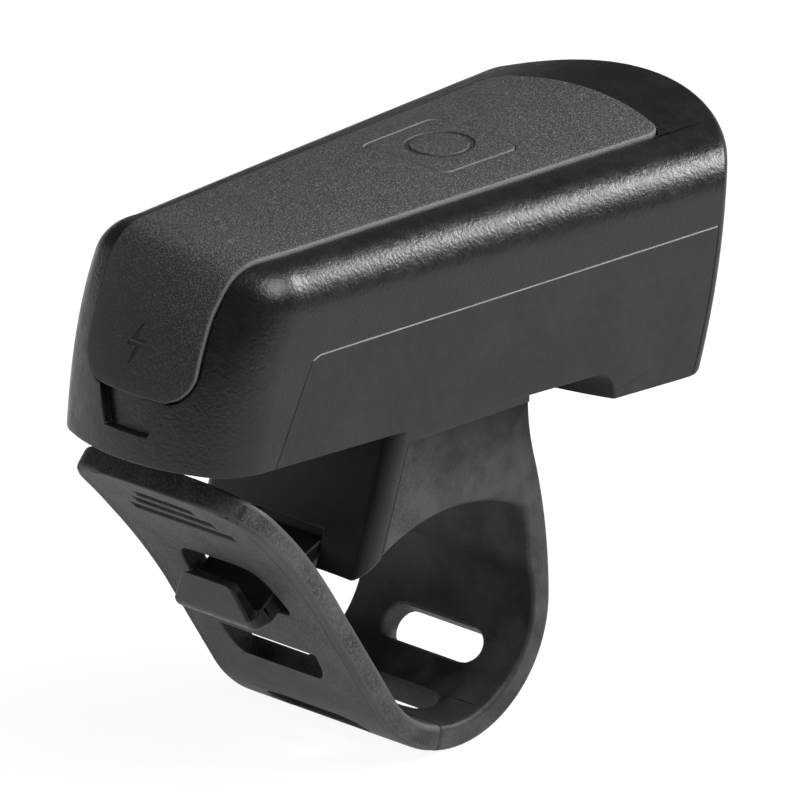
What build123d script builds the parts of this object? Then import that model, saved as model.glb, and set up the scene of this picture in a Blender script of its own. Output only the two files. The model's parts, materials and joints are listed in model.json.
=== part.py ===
from build123d import *
from functools import cache
import math
import os

# A battery headlight that slides on to a rubber strap clamp.
# +X runs along the handlebar, +Y is the way the beam points, +Z is up.
# The origin is on the handlebar's axis, midway along the strap's width. All sizes are in millimetres.

# Shared clearances
seat_gap = 0.1
moving_gap = 0.3
pin_gap = 0.05
overrun = 20.0
reach = 200.0

# Handlebar strap
bar_radius = 15.9
strap_thickness = 4.1
strap_half_width = 18.5
strap_front_angle = 18.0
strap_split_angle = -104.5
strap_leave_angle = -147.5
strap_straight = 19.5
strap_flare = 16.4
tail_reach = 53.4
tab_half_width = 19.7
tab_length = 16.0
tab_corner_radius = 7.0
tab_end_bow = 1.6
strap_edge_radius = 0.9
saddle_top_z = 32.5
front_knee_y = 16.8
front_knee_z = 23.5
front_wall_top_y = 14.4
front_wall_corner_radius = 2.0

# Slots in the strap
slot_pitch_angle = 45.0
slot_first_angle = -37.0
slot_half_length = 10.4
slot_width = 5.7
rear_slot_distance = 8.0
hook_slot_low_radius = 34.7
hook_slot_high_radius = 45.2
hook_slot_low_half = 10.8
hook_slot_high_half = 8.4
hook_slot_low_corner = 1.5
hook_slot_high_corner = 4.2

# Grip grooves on the tab
grip_count = 3
grip_half_length = 11.0
grip_step = 2.4
grip_first_distance = 42.3
grip_pitch = 3.0
grip_radius = 0.9

# Bracket
bracket_front_y = 15.5
bracket_rear_y = -13.0
bracket_foot_y = -21.4
bracket_foot_z = 11.4
bracket_top_z = 36.2
bracket_wall = 3.4
bracket_corner_radius = 2.6
arch_radius = 32.0
arch_top_z = 19.4
arch_top_y = -1.0
recess_half_width = 8.3
recess_top_z = 18.2
recess_depth = 1.8
core_half_width = 12.0
core_rear_y = -11.0
core_base_z = 28.6
tab_pocket_z = 23.0

# Foot of the light and the channel that it slides in
foot_neck_half = 6.3
foot_head_half = 9.3
foot_head_low_z = 31.3
foot_head_high_z = 33.3
foot_rear_y = -6.0
foot_front_y = 15.0
foot_corner_radius = 1.2
catch_notch_y = 13.0
catch_notch_length = 1.8
catch_notch_depth = 0.8

# Release tab and its pin
release_pivot_y = 1.0
release_pivot_z = 29.7
release_knuckle_radius = 1.2
release_pin_radius = 0.7
release_pin_half = 9.0
release_half_width = 6.0
release_top_z = 30.8
release_thickness = 1.9
release_tip_y = 20.5
release_lip_length = 2.5
release_lip_low_z = 26.5
release_tooth_height = 0.2

# Hook that the strap's slot hangs on
hook_half_width = 8.0
hook_top_half_width = 5.1
hook_top_z = 12.6
hook_top_y = -36.3
hook_bottom_y = -34.7
hook_bottom_z = 5.1
hook_heel_y = -29.8
hook_heel_z = 5.8
hook_rise_y = -24.3
hook_rise_z = 10.3
hook_root_y = -18.6
hook_root_low_z = 12.4
hook_root_high_z = 16.6
hook_throat_y = -32.9
hook_throat_z = 7.9
hook_crest_y = -24.8
hook_crest_z = 14.2
hook_paddle_thickness = 2.0
hook_curl_radius = 2.2
hook_throat_radius = 0.9

# Housing
light_front_y = 61.2
light_rear_y = -54.4
housing_base_z = 36.6
housing_top_z = 69.1
top_slope = 1.3
crown_radius = 95.0
crown_allowance = 4.0
half_width = 23.4
side_taper = 0.09
side_lean = 0.9
rear_lean = 16.0
front_lean = 6.7
front_radius = 38.0
front_half_reach = 32.0
rear_radius = 34.0
rear_corner_radius = 9.5
top_edge_radius = 7.0
front_edge_radius = 1.5
wall = 2.4
chin_drop = 4.7
chin_rear_y = 21.8
chin_rear_radius = 76.0
chin_hollow_radius = 3.5

# Shares of the housing's height, and of its leans, at the levels that shape it
level_shares = (0.0, 0.38, 0.70, 1.0)
rear_lean_shares = (0.0, 0.14, 0.42, 1.0)
front_lean_shares = (1.0, 0.34, 0.05, 0.0)
side_lean_shares = (0.0, 0.55, 0.95, 1.0)

# Joint line between the shells, its gasket and its screws
parting_foot_y = -40.7
parting_knee_y = -33.8
parting_knee_z = 52.7
parting_bend_y = -32.2
parting_bend_z = 53.4
parting_front_z = 56.0
rim_depth = 2.7
gasket_depth = 0.8
gasket_width = 0.8
gasket_half_height = 0.35
pillar_top_z = 50.0
pillar_radius = 2.6
housing_screw_rear_x = 13.5
housing_screw_rear_y = -27.0
housing_screw_front_x = 16.5
housing_screw_front_y = 12.0
housing_screw_places = (
    (housing_screw_rear_x, housing_screw_rear_y),
    (housing_screw_front_x, housing_screw_front_y),
)
housing_screw_radius = 1.1
housing_screw_head_radius = 2.1
housing_screw_head_height = 1.7
housing_screw_top_z = 59.0

# Rubber pad, flap and button on the housing
pad_proud = 0.6
pad_depth = 0.9
pad_front_y = 47.3
pad_shoulder_y = 44.7
pad_front_half = 18.1
pad_bend_y = -31.9
pad_bend_half = 13.7
pad_corner_radius = 3.0
flap_half_width = 11.8
flap_hinge_y = -47.6
flap_hinge_z = 61.4
flap_hinge_slope = 34.0
flap_low_z = 46.9
flap_corner_radius = 5.5
flap_depth = 0.5
notch_top_half = 7.0
notch_low_half = 4.5
notch_low_z = 41.0
notch_depth = 1.5
button_rear_y = 6.4
button_front_y = 22.2
button_rear_half = 8.9
button_front_half = 9.4
button_bow = 0.7
button_corner_radius = 1.5
button_travel = 0.6
plunger_radius = 1.7

# Charging port
port_z = 52.8
port_half_width = 5.5
port_half_height = 2.6
port_corner_radius = 2.0
plug_depth = 1.5
plug_side_gap = 0.5
socket_half_width = 4.5
socket_height = 3.2
socket_front_y = -48.2
socket_length = 6.5
socket_mouth_half = 4.1
socket_mouth_height = 2.5
socket_mouth_radius = 1.2
socket_mouth_depth = 6.0
socket_tongue_half = 3.3
socket_tongue_height = 0.7
charging_board_half = 7.5
charging_board_front_y = -40.3
board_thickness = 1.2
shelf_outer_half = 6.5
shelf_wall = 1.5
shelf_height = 2.4
link_pin_half = 0.3
link_pin_pitch = 2.0
link_pin_count = 4
link_pin_y = -41.1

# Window, lens and its gasket
window_half = 20.0
window_low_z = 43.5
window_high_z = 61.0
window_corner_radius = 3.0
lens_proud = 0.5
lens_depth = 1.6
lens_flange_outer = 3.1
lens_flange_inner = 4.2
lens_flange_width = 1.6
lens_skirt = 1.3

# Reflector, lamp board and heat sink
lamp_z = 52.2
lamp_board_half = 11.0
lamp_board_half_height = 8.8
lamp_board_thickness = 1.6
emitter_half = 1.7
emitter_height = 0.9
reflector_half = 18.0
reflector_half_height = 8.0
reflector_wall = 1.2
reflector_back = 1.6
reflector_focus = 4.05
reflector_mouth_radius = 20.5
reflector_hole_radius = 3.2
sink_half = 18.0
sink_top_z = 62.0
sink_front_y = 31.6
sink_plate = 2.2
fin_depth = 2.4
fin_count = 7
fin_pitch = 5.0
fin_thickness = 1.2

# Battery and its seats
battery_radius = 9.1
battery_length = 65.0
battery_rear_y = -39.5
battery_tab_half = 3.5
battery_tab_thickness = 0.3
cradle_inset = 6.5
cradle_half = 12.5
cradle_thickness = 1.6
cradle_height = 7.0
foam_half = 6.0
foam_rear_y = -22.0
foam_front_y = 6.0

# Main board and what is on it
main_board_half = 10.4
main_board_rear_y = -43.0
main_board_front_y = 26.0
main_board_z = 59.6
board_screw_x = 8.2
board_screw_rear_y = -35.5
board_screw_front_y = 1.0
board_screw_places = ((board_screw_x, board_screw_rear_y), (board_screw_x, board_screw_front_y))
board_boss_radius = 1.9
board_screw_radius = 0.9
board_screw_head_radius = 1.7
board_screw_head_height = 1.1
board_screw_depth = 3.4
switch_y = 14.5
switch_half = 3.1
switch_height = 3.5
switch_bore_depth = 2.2
chip_half = 3.5
chip_height = 1.0
chip_y = -12.0
coil_half = 3.0
coil_height = 3.0
coil_y = -24.0
connector_half_x = 1.3
connector_length = 5.0
connector_height = 1.9

# Leads from the main board to the lamp board, as places along the light and heights
lead_radius = 0.45
lead_x = 8.0
lead_route = ((24.0, 61.8), (30.0, 63.0), (35.8, 62.6), (38.7, 59.2), (36.9, 55.6), (33.3, 55.4))
lead_run_share = 0.45


def box_between(low, high):
    """A box from its low corner to its high corner."""
    size = [high[i] - low[i] for i in range(3)]
    middle = [(high[i] + low[i]) / 2 for i in range(3)]
    return Pos(*middle) * Box(*size)


def post(x, y, low_z, high_z, radius):
    """A round post standing from one level to another."""
    return Pos(x, y, (low_z + high_z) / 2) * Cylinder(radius, high_z - low_z)


def rod_across(y, z, radius, half_length):
    """A round rod that lies along the handlebar."""
    return Pos(0, y, z) * Rot(0, 90, 0) * Cylinder(radius, 2 * half_length)


def rod_along(low_y, high_y, z, radius):
    """A round rod that lies along the beam."""
    return Pos(0, (low_y + high_y) / 2, z) * Rot(90, 0, 0) * Cylinder(radius, high_y - low_y)


def side_prism(points, half_length):
    """A block whose outline in side view joins the given places and heights."""
    outline = Polyline(*points, close=True)
    return extrude(Plane.YZ * make_face(outline), half_length, both=True)


def front_block(half_x, low_z, high_z, radius, low_y, high_y):
    """A block whose outline seen from the front is a rounded rectangle."""
    outline = RectangleRounded(2 * half_x, high_z - low_z, radius)
    solid = extrude(outline, (high_y - low_y) / 2, both=True)
    return Pos(0, (low_y + high_y) / 2, (low_z + high_z) / 2) * Rot(90, 0, 0) * solid


def sagitta(radius, half_chord):
    """How far an arc rises over its chord."""
    return radius - math.sqrt(radius ** 2 - half_chord ** 2)


def on_circle(radius, angle):
    """The place and height of a point on a circle round the handlebar."""
    turn = math.radians(angle)
    return (radius * math.cos(turn), radius * math.sin(turn))


def circle_arc(radius, start_angle, end_angle):
    """An arc round the handlebar between two angles."""
    middle_angle = (start_angle + end_angle) / 2
    return ThreePointArc(
        on_circle(radius, start_angle), on_circle(radius, middle_angle), on_circle(radius, end_angle)
    )


def half_width_at(y, grow=0.0):
    """Half the housing's width at its base, at a place along its length."""
    return half_width + side_taper * y + grow


def plan_section(z, rear_y, lean, grow):
    """The housing's outline at one level, run on past its front."""
    front_y = light_front_y + overrun
    front_half = half_width_at(front_y, grow) + lean
    corner_y = rear_y + sagitta(rear_radius, half_width_at(rear_y) + lean)
    rear_half = half_width_at(corner_y, grow) + lean
    with BuildLine() as outline:
        Line((-rear_half, corner_y), (-front_half, front_y))
        Line((-front_half, front_y), (front_half, front_y))
        Line((front_half, front_y), (rear_half, corner_y))
        ThreePointArc((rear_half, corner_y), (0, rear_y - grow), (-rear_half, corner_y))
    face = make_face(outline.line)
    corners = face.vertices().sort_by(Axis.Y)[:2]
    return Pos(0, 0, z) * fillet(corners, rear_corner_radius + grow)


def front_section(z, front_y, grow):
    """A wide outline whose front edge is the housing's bowed front at one level."""
    back_y = light_rear_y - overrun
    edge_y = front_y - sagitta(front_radius, front_half_reach)
    with BuildLine() as outline:
        Line((-front_half_reach, edge_y), (-front_half_reach, back_y))
        Line((-front_half_reach, back_y), (front_half_reach, back_y))
        Line((front_half_reach, back_y), (front_half_reach, edge_y))
        ThreePointArc((front_half_reach, edge_y), (0, front_y + grow), (-front_half_reach, edge_y))
    return Pos(0, 0, z) * make_face(outline.line)


def housing_levels():
    """The heights of the sections that shape the housing."""
    low_z = housing_base_z - chin_drop - pad_proud
    height = housing_top_z + crown_allowance - low_z
    return [low_z + share * height for share in level_shares]


@cache
def front_limit(grow=0.0):
    """Everything behind the housing's front face, with that face moved out by grow."""
    fronts = [
        front_section(z, light_front_y - front_lean * share, grow)
        for z, share in zip(housing_levels(), front_lean_shares)
    ]
    return loft(fronts)


@cache
def envelope(grow=0.0):
    """The housing's outer form, with every face moved out by grow."""
    sides = [
        plan_section(z, light_rear_y + rear_lean * rear_share, side_lean * side_share, grow)
        for z, rear_share, side_share in zip(housing_levels(), rear_lean_shares, side_lean_shares)
    ]
    body = loft(sides)
    crown_centre = Pos(0, 0, housing_top_z - crown_radius) * Rot(top_slope - 90, 0, 0)
    body &= crown_centre * Cylinder(crown_radius + grow, 2 * reach)
    top = body.faces().filter_by(GeomType.CYLINDER).sort_by(SortBy.AREA)[-1]
    rim = [edge for edge in top.edges() if edge.center().Y < light_front_y]
    body = fillet(rim, top_edge_radius + grow) & front_limit(grow)
    body -= box_between((-reach, -reach, -reach), (reach, reach, housing_base_z - chin_drop - grow))
    under = box_between(
        (-reach, -reach, -reach), (reach, chin_rear_y + chin_rear_radius, housing_base_z - grow)
    )
    chin = post(0, chin_rear_y + chin_rear_radius, -reach, reach, chin_rear_radius + grow)
    return body - (under - chin)


def shell_layer(outer, inner):
    """The skin of the housing between two depths below its face."""
    return envelope(-outer) - envelope(-inner)


def front_layer(outer, inner):
    """The slab between two depths below the housing's front face."""
    return front_limit(-outer) - front_limit(-inner)


def arch_z(y):
    """The height of the arch over the handlebar."""
    return arch_top_z - sagitta(arch_radius, y - arch_top_y)


def rear_face_y(z, depth=0.0):
    """The place of the bracket's rear face at a height, moved forward by depth."""
    lean = (bracket_foot_y - bracket_rear_y) / (bracket_top_z - bracket_foot_z)
    return bracket_rear_y + lean * (bracket_top_z - z) + depth


def tail_point(distance, depth=0.0):
    """A point of the strap's tail, from where it leaves the circle, at a depth from its inner face."""
    slope = math.radians(-90 - strap_leave_angle)
    start_y, start_z = on_circle(bar_radius, strap_leave_angle)
    straight = min(distance, strap_straight)
    y = start_y - straight * math.cos(slope)
    z = start_z + straight * math.sin(slope)
    bend_radius = (tail_reach - strap_straight) / math.radians(strap_flare)
    turn = (distance - straight) / bend_radius
    centre_y = y - bend_radius * math.sin(slope)
    centre_z = z - bend_radius * math.cos(slope)
    y = centre_y + (bend_radius - depth) * math.sin(slope - turn)
    z = centre_z + (bend_radius - depth) * math.cos(slope - turn)
    return (y, z)


def tail_slope(distance):
    """The strap's slope in degrees at a distance along its tail."""
    share = max(0.0, distance - strap_straight) / (tail_reach - strap_straight)
    return -90 - strap_leave_angle - strap_flare * share


def tail_pivot():
    """The line that the tail bends about, on the strap's outer face."""
    return on_circle(bar_radius + strap_thickness, strap_split_angle)


def slot_cutter(centre, angle):
    """A round-ended slot through the strap, square to the given angle."""
    turn = math.radians(angle)
    outward = (0, math.cos(turn), math.sin(turn))
    plane = Plane(origin=(0, *centre), x_dir=(1, 0, 0), z_dir=outward)
    return extrude(plane * SlotOverall(2 * slot_half_length, slot_width), strap_thickness, both=True)


def round_strap_edges(solid, is_long):
    """Rounds the edges along the strap's sides whose middles pass the test."""
    edges = [
        edge
        for edge in solid.edges()
        if abs(abs(edge.center().X) - strap_half_width) < pin_gap and is_long(edge.center())
    ]
    return fillet(edges, strap_edge_radius)


def handlebar_strap():
    """The rubber saddle under the bracket, with the front of the band below it."""
    outer_radius = bar_radius + strap_thickness
    wall_foot = on_circle(bar_radius, strap_front_angle)
    wall_top = (front_wall_top_y, arch_z(front_wall_top_y))
    arch_rear_y = bracket_foot_y + bracket_wall
    knee = (front_knee_y, front_knee_z)
    top_front = (bracket_front_y, saddle_top_z)
    top_rear = (rear_face_y(saddle_top_z, bracket_wall), saddle_top_z)
    with BuildLine() as outline:
        circle_arc(bar_radius, strap_split_angle, strap_front_angle)
        Line(wall_foot, wall_top)
        ThreePointArc(wall_top, (arch_top_y, arch_top_z), (arch_rear_y, arch_z(arch_rear_y)))
        Line((arch_rear_y, arch_z(arch_rear_y)), top_rear)
        Line(top_rear, top_front)
        front_arc = TangentArc((outer_radius, 0), knee, tangent=(0, 1))
        TangentArc(knee, top_front, tangent=front_arc % 1)
        circle_arc(outer_radius, 0, strap_split_angle)
        Line(on_circle(outer_radius, strap_split_angle), on_circle(bar_radius, strap_split_angle))
    face = make_face(outline.line)
    corner = face.vertices().sort_by_distance((*wall_top, 0))[0]
    face = fillet(corner, front_wall_corner_radius)
    solid = extrude(Plane.YZ * face, strap_half_width, both=True)
    middle_radius = bar_radius + strap_thickness / 2
    wall_y = (wall_foot[0] + middle_radius) / 2
    solid = round_strap_edges(
        solid,
        lambda place: math.hypot(place.Y, place.Z) > middle_radius
        and (place.Y > wall_foot[0] or place.Z < -strap_thickness)
        and place.Y > tail_pivot()[0],
    )
    solid = round_strap_edges(
        solid,
        lambda place: (math.hypot(place.Y, place.Z) < bar_radius + pin_gap and place.Z < wall_foot[1])
        or (front_wall_top_y - front_wall_corner_radius < place.Y < wall_y and place.Z > wall_foot[1]),
    )
    for step in range(2):
        angle = slot_first_angle - step * slot_pitch_angle
        solid -= slot_cutter(on_circle(bar_radius + strap_thickness / 2, angle), angle)
    solid -= box_between(
        (-core_half_width, core_rear_y, tab_pocket_z), (core_half_width, reach, saddle_top_z)
    )
    return solid - plates_block()


def strap_tail():
    """The rear of the band, which bends open about its foot."""
    outer_radius = bar_radius + strap_thickness
    gap_turn = math.degrees(moving_gap / bar_radius)
    start_angle = strap_split_angle - gap_turn
    middle = (strap_straight + tail_reach) / 2
    with BuildLine() as outline:
        circle_arc(bar_radius, start_angle, strap_leave_angle)
        Line(on_circle(bar_radius, strap_leave_angle), tail_point(strap_straight))
        ThreePointArc(tail_point(strap_straight), tail_point(middle), tail_point(tail_reach))
        Line(tail_point(tail_reach), tail_point(tail_reach, strap_thickness))
        ThreePointArc(
            tail_point(tail_reach, strap_thickness),
            tail_point(middle, strap_thickness),
            tail_point(strap_straight, strap_thickness),
        )
        Line(tail_point(strap_straight, strap_thickness), on_circle(outer_radius, strap_leave_angle))
        circle_arc(outer_radius, strap_leave_angle, start_angle)
        Line(on_circle(outer_radius, start_angle), on_circle(bar_radius, start_angle))
    solid = extrude(Plane.YZ * make_face(outline.line), tab_half_width, both=True)
    solid &= tail_outline()
    angle = slot_first_angle - 2 * slot_pitch_angle
    solid -= slot_cutter(on_circle(bar_radius + strap_thickness / 2, angle), angle)
    rear_angle = tail_slope(rear_slot_distance) + 90
    solid -= slot_cutter(tail_point(rear_slot_distance, strap_thickness / 2), rear_angle)
    solid -= hook_slot()
    return solid - grip_grooves()


def tail_outline():
    """The tail's outline seen square to its tab, as a deep block."""
    end_y, end_z = tail_point(tail_reach, strap_thickness / 2)
    slope = math.radians(tail_slope(tail_reach))
    outward = (0, -math.sin(slope), -math.cos(slope))
    plane = Plane(origin=(0, end_y, end_z), x_dir=(1, 0, 0), z_dir=outward)
    with BuildLine() as outline:
        ThreePointArc((-tab_half_width, -tab_end_bow), (0, 0), (tab_half_width, -tab_end_bow))
        Line((tab_half_width, -tab_end_bow), (tab_half_width, -tab_length))
        Line((tab_half_width, -tab_length), (strap_half_width, -2 * tab_length))
        Line((strap_half_width, -2 * tab_length), (strap_half_width, -reach))
        Line((strap_half_width, -reach), (-strap_half_width, -reach))
        Line((-strap_half_width, -reach), (-strap_half_width, -2 * tab_length))
        Line((-strap_half_width, -2 * tab_length), (-tab_half_width, -tab_length))
        Line((-tab_half_width, -tab_length), (-tab_half_width, -tab_end_bow))
    face = make_face(outline.line)
    corners = face.vertices().sort_by(Axis.Y)[-2:]
    return extrude(plane * fillet(corners, tab_corner_radius), reach, both=True)


def hook_slot():
    """The tall slot that hangs on the hook, square to the way it swings."""
    pivot_y, pivot_z = tail_pivot()
    distance = strap_straight + hook_paddle_thickness
    near_y, near_z = tail_point(distance, strap_thickness / 2)
    swing = math.atan2(near_z - pivot_z, near_y - pivot_y)
    radial = (math.cos(swing), math.sin(swing))
    middle = (hook_slot_low_radius + hook_slot_high_radius) / 2
    centre = (0, pivot_y + middle * radial[0], pivot_z + middle * radial[1])
    plane = Plane(origin=centre, x_dir=(1, 0, 0), z_dir=(0, -radial[1], radial[0]))
    half_height = (hook_slot_high_radius - hook_slot_low_radius) / 2
    points = (
        (-hook_slot_low_half, -half_height),
        (hook_slot_low_half, -half_height),
        (hook_slot_high_half, half_height),
        (-hook_slot_high_half, half_height),
    )
    face = make_face(Polyline(*points, close=True))
    face = fillet(face.vertices().sort_by(Axis.Y)[:2], hook_slot_low_corner)
    face = fillet(face.vertices().sort_by(Axis.Y)[-2:], hook_slot_high_corner)
    return extrude(plane * face, 2 * strap_thickness, both=True)


def grip_grooves():
    """The staggered grooves across the tab."""
    grooves = []
    for step in range(grip_count):
        y, z = tail_point(grip_first_distance + step * grip_pitch, strap_thickness)
        half_length = grip_half_length - step * grip_step
        grooves.append(rod_across(y, z, grip_radius, half_length))
    return Compound(children=grooves)


def plates_block():
    """The bracket's slanted rear plate and flat top plate in one, with square corners."""
    points = (
        (bracket_rear_y, bracket_top_z),
        (bracket_foot_y, bracket_foot_z),
        (bracket_foot_y + bracket_wall, bracket_foot_z),
        (rear_face_y(saddle_top_z, bracket_wall), saddle_top_z),
        (bracket_front_y, saddle_top_z),
        (bracket_front_y, bracket_top_z),
    )
    return side_prism(points, strap_half_width)


@cache
def bracket_plates():
    """The bracket's two plates, with the corners of the rear one rounded."""
    solid = plates_block()
    corners = [
        edge
        for edge in solid.edges().filter_by(GeomType.LINE)
        if abs(edge.center().Y - rear_face_y(edge.center().Z)) < pin_gap
        and edge.length > bracket_foot_z
        and abs(edge.center().X) > core_half_width
    ]
    return fillet(corners, bracket_corner_radius)


def bracket_frame():
    """The hard bracket: its plates, channel and hook."""
    solid = bracket_plates()
    solid += box_between(
        (-core_half_width, core_rear_y, core_base_z), (core_half_width, bracket_front_y, saddle_top_z)
    )
    solid -= rod_across(arch_top_y, arch_top_z - arch_radius, arch_radius, reach)
    solid -= side_prism(
        (
            (rear_face_y(recess_top_z, recess_depth), recess_top_z),
            (rear_face_y(bracket_foot_z, recess_depth), bracket_foot_z),
            (rear_face_y(bracket_foot_z, -overrun), bracket_foot_z),
            (rear_face_y(recess_top_z, -overrun), recess_top_z),
        ),
        recess_half_width,
    )
    solid += hook()
    channel_rear_y = foot_rear_y - moving_gap
    solid -= box_between(
        (-foot_head_half - moving_gap, channel_rear_y, foot_head_low_z - moving_gap),
        (foot_head_half + moving_gap, reach, foot_head_high_z + moving_gap),
    )
    solid -= box_between(
        (-foot_neck_half - moving_gap, channel_rear_y, foot_head_low_z),
        (foot_neck_half + moving_gap, reach, reach),
    )
    tab_slot_rear_y = release_pivot_y - release_knuckle_radius - moving_gap
    solid -= box_between(
        (-release_half_width - moving_gap, tab_slot_rear_y, 0),
        (release_half_width + moving_gap, reach, foot_head_low_z),
    )
    return solid - rod_across(
        release_pivot_y, release_pivot_z, release_pin_radius, release_pin_half
    )


def hook():
    """The upturned hook that stands out of the bracket's rear plate."""
    paddle_inner_y = hook_top_y + hook_paddle_thickness
    points = (
        (hook_top_y, hook_top_z),
        (hook_bottom_y, hook_bottom_z),
        (hook_heel_y, hook_heel_z),
        (hook_rise_y, hook_rise_z),
        (hook_root_y, hook_root_low_z),
        (hook_root_y, hook_root_high_z),
        (hook_crest_y, hook_crest_z),
        (hook_throat_y, hook_throat_z),
        (paddle_inner_y, hook_top_z),
    )
    face = make_face(Polyline(*points, close=True))
    curl = face.vertices().sort_by_distance((hook_bottom_y, hook_bottom_z, 0))[0]
    face = fillet(curl, hook_curl_radius)
    throat = face.vertices().sort_by_distance((hook_throat_y, hook_throat_z, 0))[0]
    face = fillet(throat, hook_throat_radius)
    solid = extrude(Plane.YZ * face, hook_half_width, both=True)
    taper = (
        (-hook_half_width, hook_bottom_z - overrun),
        (hook_half_width, hook_bottom_z - overrun),
        (hook_half_width, hook_bottom_z + hook_curl_radius),
        (hook_top_half_width, hook_top_z),
        (-hook_top_half_width, hook_top_z),
        (-hook_half_width, hook_bottom_z + hook_curl_radius),
    )
    paddle_face = make_face(Polyline(*taper, close=True))
    mask = extrude(Plane.XZ * paddle_face, reach, both=True)
    paddle_zone = box_between((-reach, -reach, -reach), (reach, hook_throat_y, reach))
    return (solid & paddle_zone & mask) + (solid - paddle_zone)


def release_tab():
    """The sprung tongue under the channel that holds the light back."""
    low_z = release_top_z - release_thickness
    lip_y = release_tip_y - release_lip_length
    solid = box_between(
        (-release_half_width, release_pivot_y, low_z), (release_half_width, release_tip_y, release_top_z)
    )
    solid += box_between(
        (-release_half_width, lip_y, release_lip_low_z), (release_half_width, release_tip_y, low_z)
    )
    solid += box_between(
        (-release_half_width, catch_notch_y, release_top_z),
        (release_half_width, catch_notch_y + catch_notch_length, release_top_z + release_tooth_height),
    )
    solid += rod_across(release_pivot_y, release_pivot_z, release_knuckle_radius, release_half_width)
    return solid - rod_across(
        release_pivot_y, release_pivot_z, release_pin_radius + pin_gap, release_half_width
    )


def release_pin():
    """The steel pin that the release tab turns on."""
    return rod_across(release_pivot_y, release_pivot_z, release_pin_radius, release_pin_half)


def parting_prism(shift=0.0):
    """Everything below the joint line between the shells, moved up and back by shift."""
    points = (
        (parting_foot_y - shift, housing_base_z - reach),
        (parting_foot_y - shift, housing_base_z),
        (parting_knee_y - shift, parting_knee_z + shift),
        (parting_bend_y, parting_bend_z + shift),
        (light_front_y, parting_front_z + shift),
        (light_front_y, housing_base_z - reach),
    )
    return side_prism(points, reach)


def lower_region():
    """The space that the lower shell fills."""
    return parting_prism() & front_limit(-rim_depth)


@cache
def shell_gasket():
    """The seal let in between the two shells."""
    band = parting_prism(gasket_half_height) - parting_prism(-gasket_half_height)
    band &= front_limit(-rim_depth - seat_gap)
    return shell_layer(gasket_depth, gasket_depth + gasket_width) & band


@cache
def housing_shell():
    """Both shells of the housing as one closed skin, before they are parted."""
    body = envelope()
    chin_edge = [
        edge
        for edge in body.edges()
        if abs(edge.center().Z - housing_base_z) < pin_gap
        and chin_rear_y - pin_gap < edge.center().Y < chin_rear_y + chin_hollow_radius
        and edge.length > half_width
    ]
    body = fillet(chin_edge, chin_hollow_radius)
    front_face = body.faces().sort_by(Axis.Y)[-1]
    body = fillet(front_face.edges(), front_edge_radius)
    return body - envelope(-wall)


def pad_outline(grow=0.0):
    """The pad's outline seen from above."""
    with BuildLine() as outline:
        Line((-pad_front_half, pad_shoulder_y), (-pad_bend_half, pad_bend_y))
        Line((-pad_bend_half, pad_bend_y), (-flap_half_width, flap_hinge_y))
        Line((-flap_half_width, flap_hinge_y), (-flap_half_width, light_rear_y - overrun))
        Line((-flap_half_width, light_rear_y - overrun), (flap_half_width, light_rear_y - overrun))
        Line((flap_half_width, light_rear_y - overrun), (flap_half_width, flap_hinge_y))
        Line((flap_half_width, flap_hinge_y), (pad_bend_half, pad_bend_y))
        Line((pad_bend_half, pad_bend_y), (pad_front_half, pad_shoulder_y))
        ThreePointArc(
            (pad_front_half, pad_shoulder_y), (0, pad_front_y), (-pad_front_half, pad_shoulder_y)
        )
    face = make_face(outline.line)
    corners = face.vertices().sort_by(Axis.Y)[-2:]
    face = fillet(corners, pad_corner_radius)
    if grow > 0:
        face = offset(face, grow)
    return Pos(0, 0, parting_front_z) * extrude(face, reach)


def flap_outline(grow=0.0):
    """The flap's outline seen from behind, as a block behind the battery."""
    middle_z = flap_low_z + overrun
    half = flap_half_width + grow
    height = 2 * (overrun + grow)
    face = RectangleRounded(2 * half, height, flap_corner_radius + grow)
    solid = Pos(0, 0, middle_z) * Rot(90, 0, 0) * extrude(face, reach)
    return solid


def hinge_side(gap, side):
    """The half of space on one side of the flap's hinge, a gap away from it."""
    slope = math.radians(flap_hinge_slope)
    along = (math.cos(slope), -math.sin(slope))
    across = (side * math.sin(slope), side * math.cos(slope))
    start_y = flap_hinge_y + gap * across[0]
    start_z = flap_hinge_z + gap * across[1]
    near = (start_y - reach * along[0], start_z - reach * along[1])
    far = (start_y + reach * along[0], start_z + reach * along[1])
    points = (
        near,
        far,
        (far[0] + reach * across[0], far[1] + reach * across[1]),
        (near[0] + reach * across[0], near[1] + reach * across[1]),
    )
    return side_prism(points, reach)


def button_outline(grow=0.0):
    """The button's outline seen from above."""
    with BuildLine() as outline:
        Line((-button_front_half, button_front_y), (-button_rear_half, button_rear_y))
        Line((-button_rear_half, button_rear_y), (button_rear_half, button_rear_y))
        Line((button_rear_half, button_rear_y), (button_front_half, button_front_y))
        ThreePointArc(
            (button_front_half, button_front_y),
            (0, button_front_y + button_bow),
            (-button_front_half, button_front_y),
        )
    face = make_face(outline.line)
    face = fillet(face.vertices(), button_corner_radius)
    if grow > 0:
        face = offset(face, grow)
    return Pos(0, 0, parting_front_z) * extrude(face, reach)


def top_pad():
    """The rubber pad that lies in the housing's top, round the button."""
    pad = shell_layer(-pad_proud, pad_depth) & pad_outline() & hinge_side(moving_gap, 1)
    return pad - button_outline(moving_gap)


def power_button():
    """The rubber button in the pad."""
    return shell_layer(-pad_proud, pad_depth) & button_outline()


def switch_plunger():
    """The stem between the button and the switch below it."""
    low_z = switch_bore_low_z() + button_travel + 2 * moving_gap
    stem = post(0, switch_y, low_z, reach, plunger_radius)
    return stem & envelope(-pad_depth - pin_gap)


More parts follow.
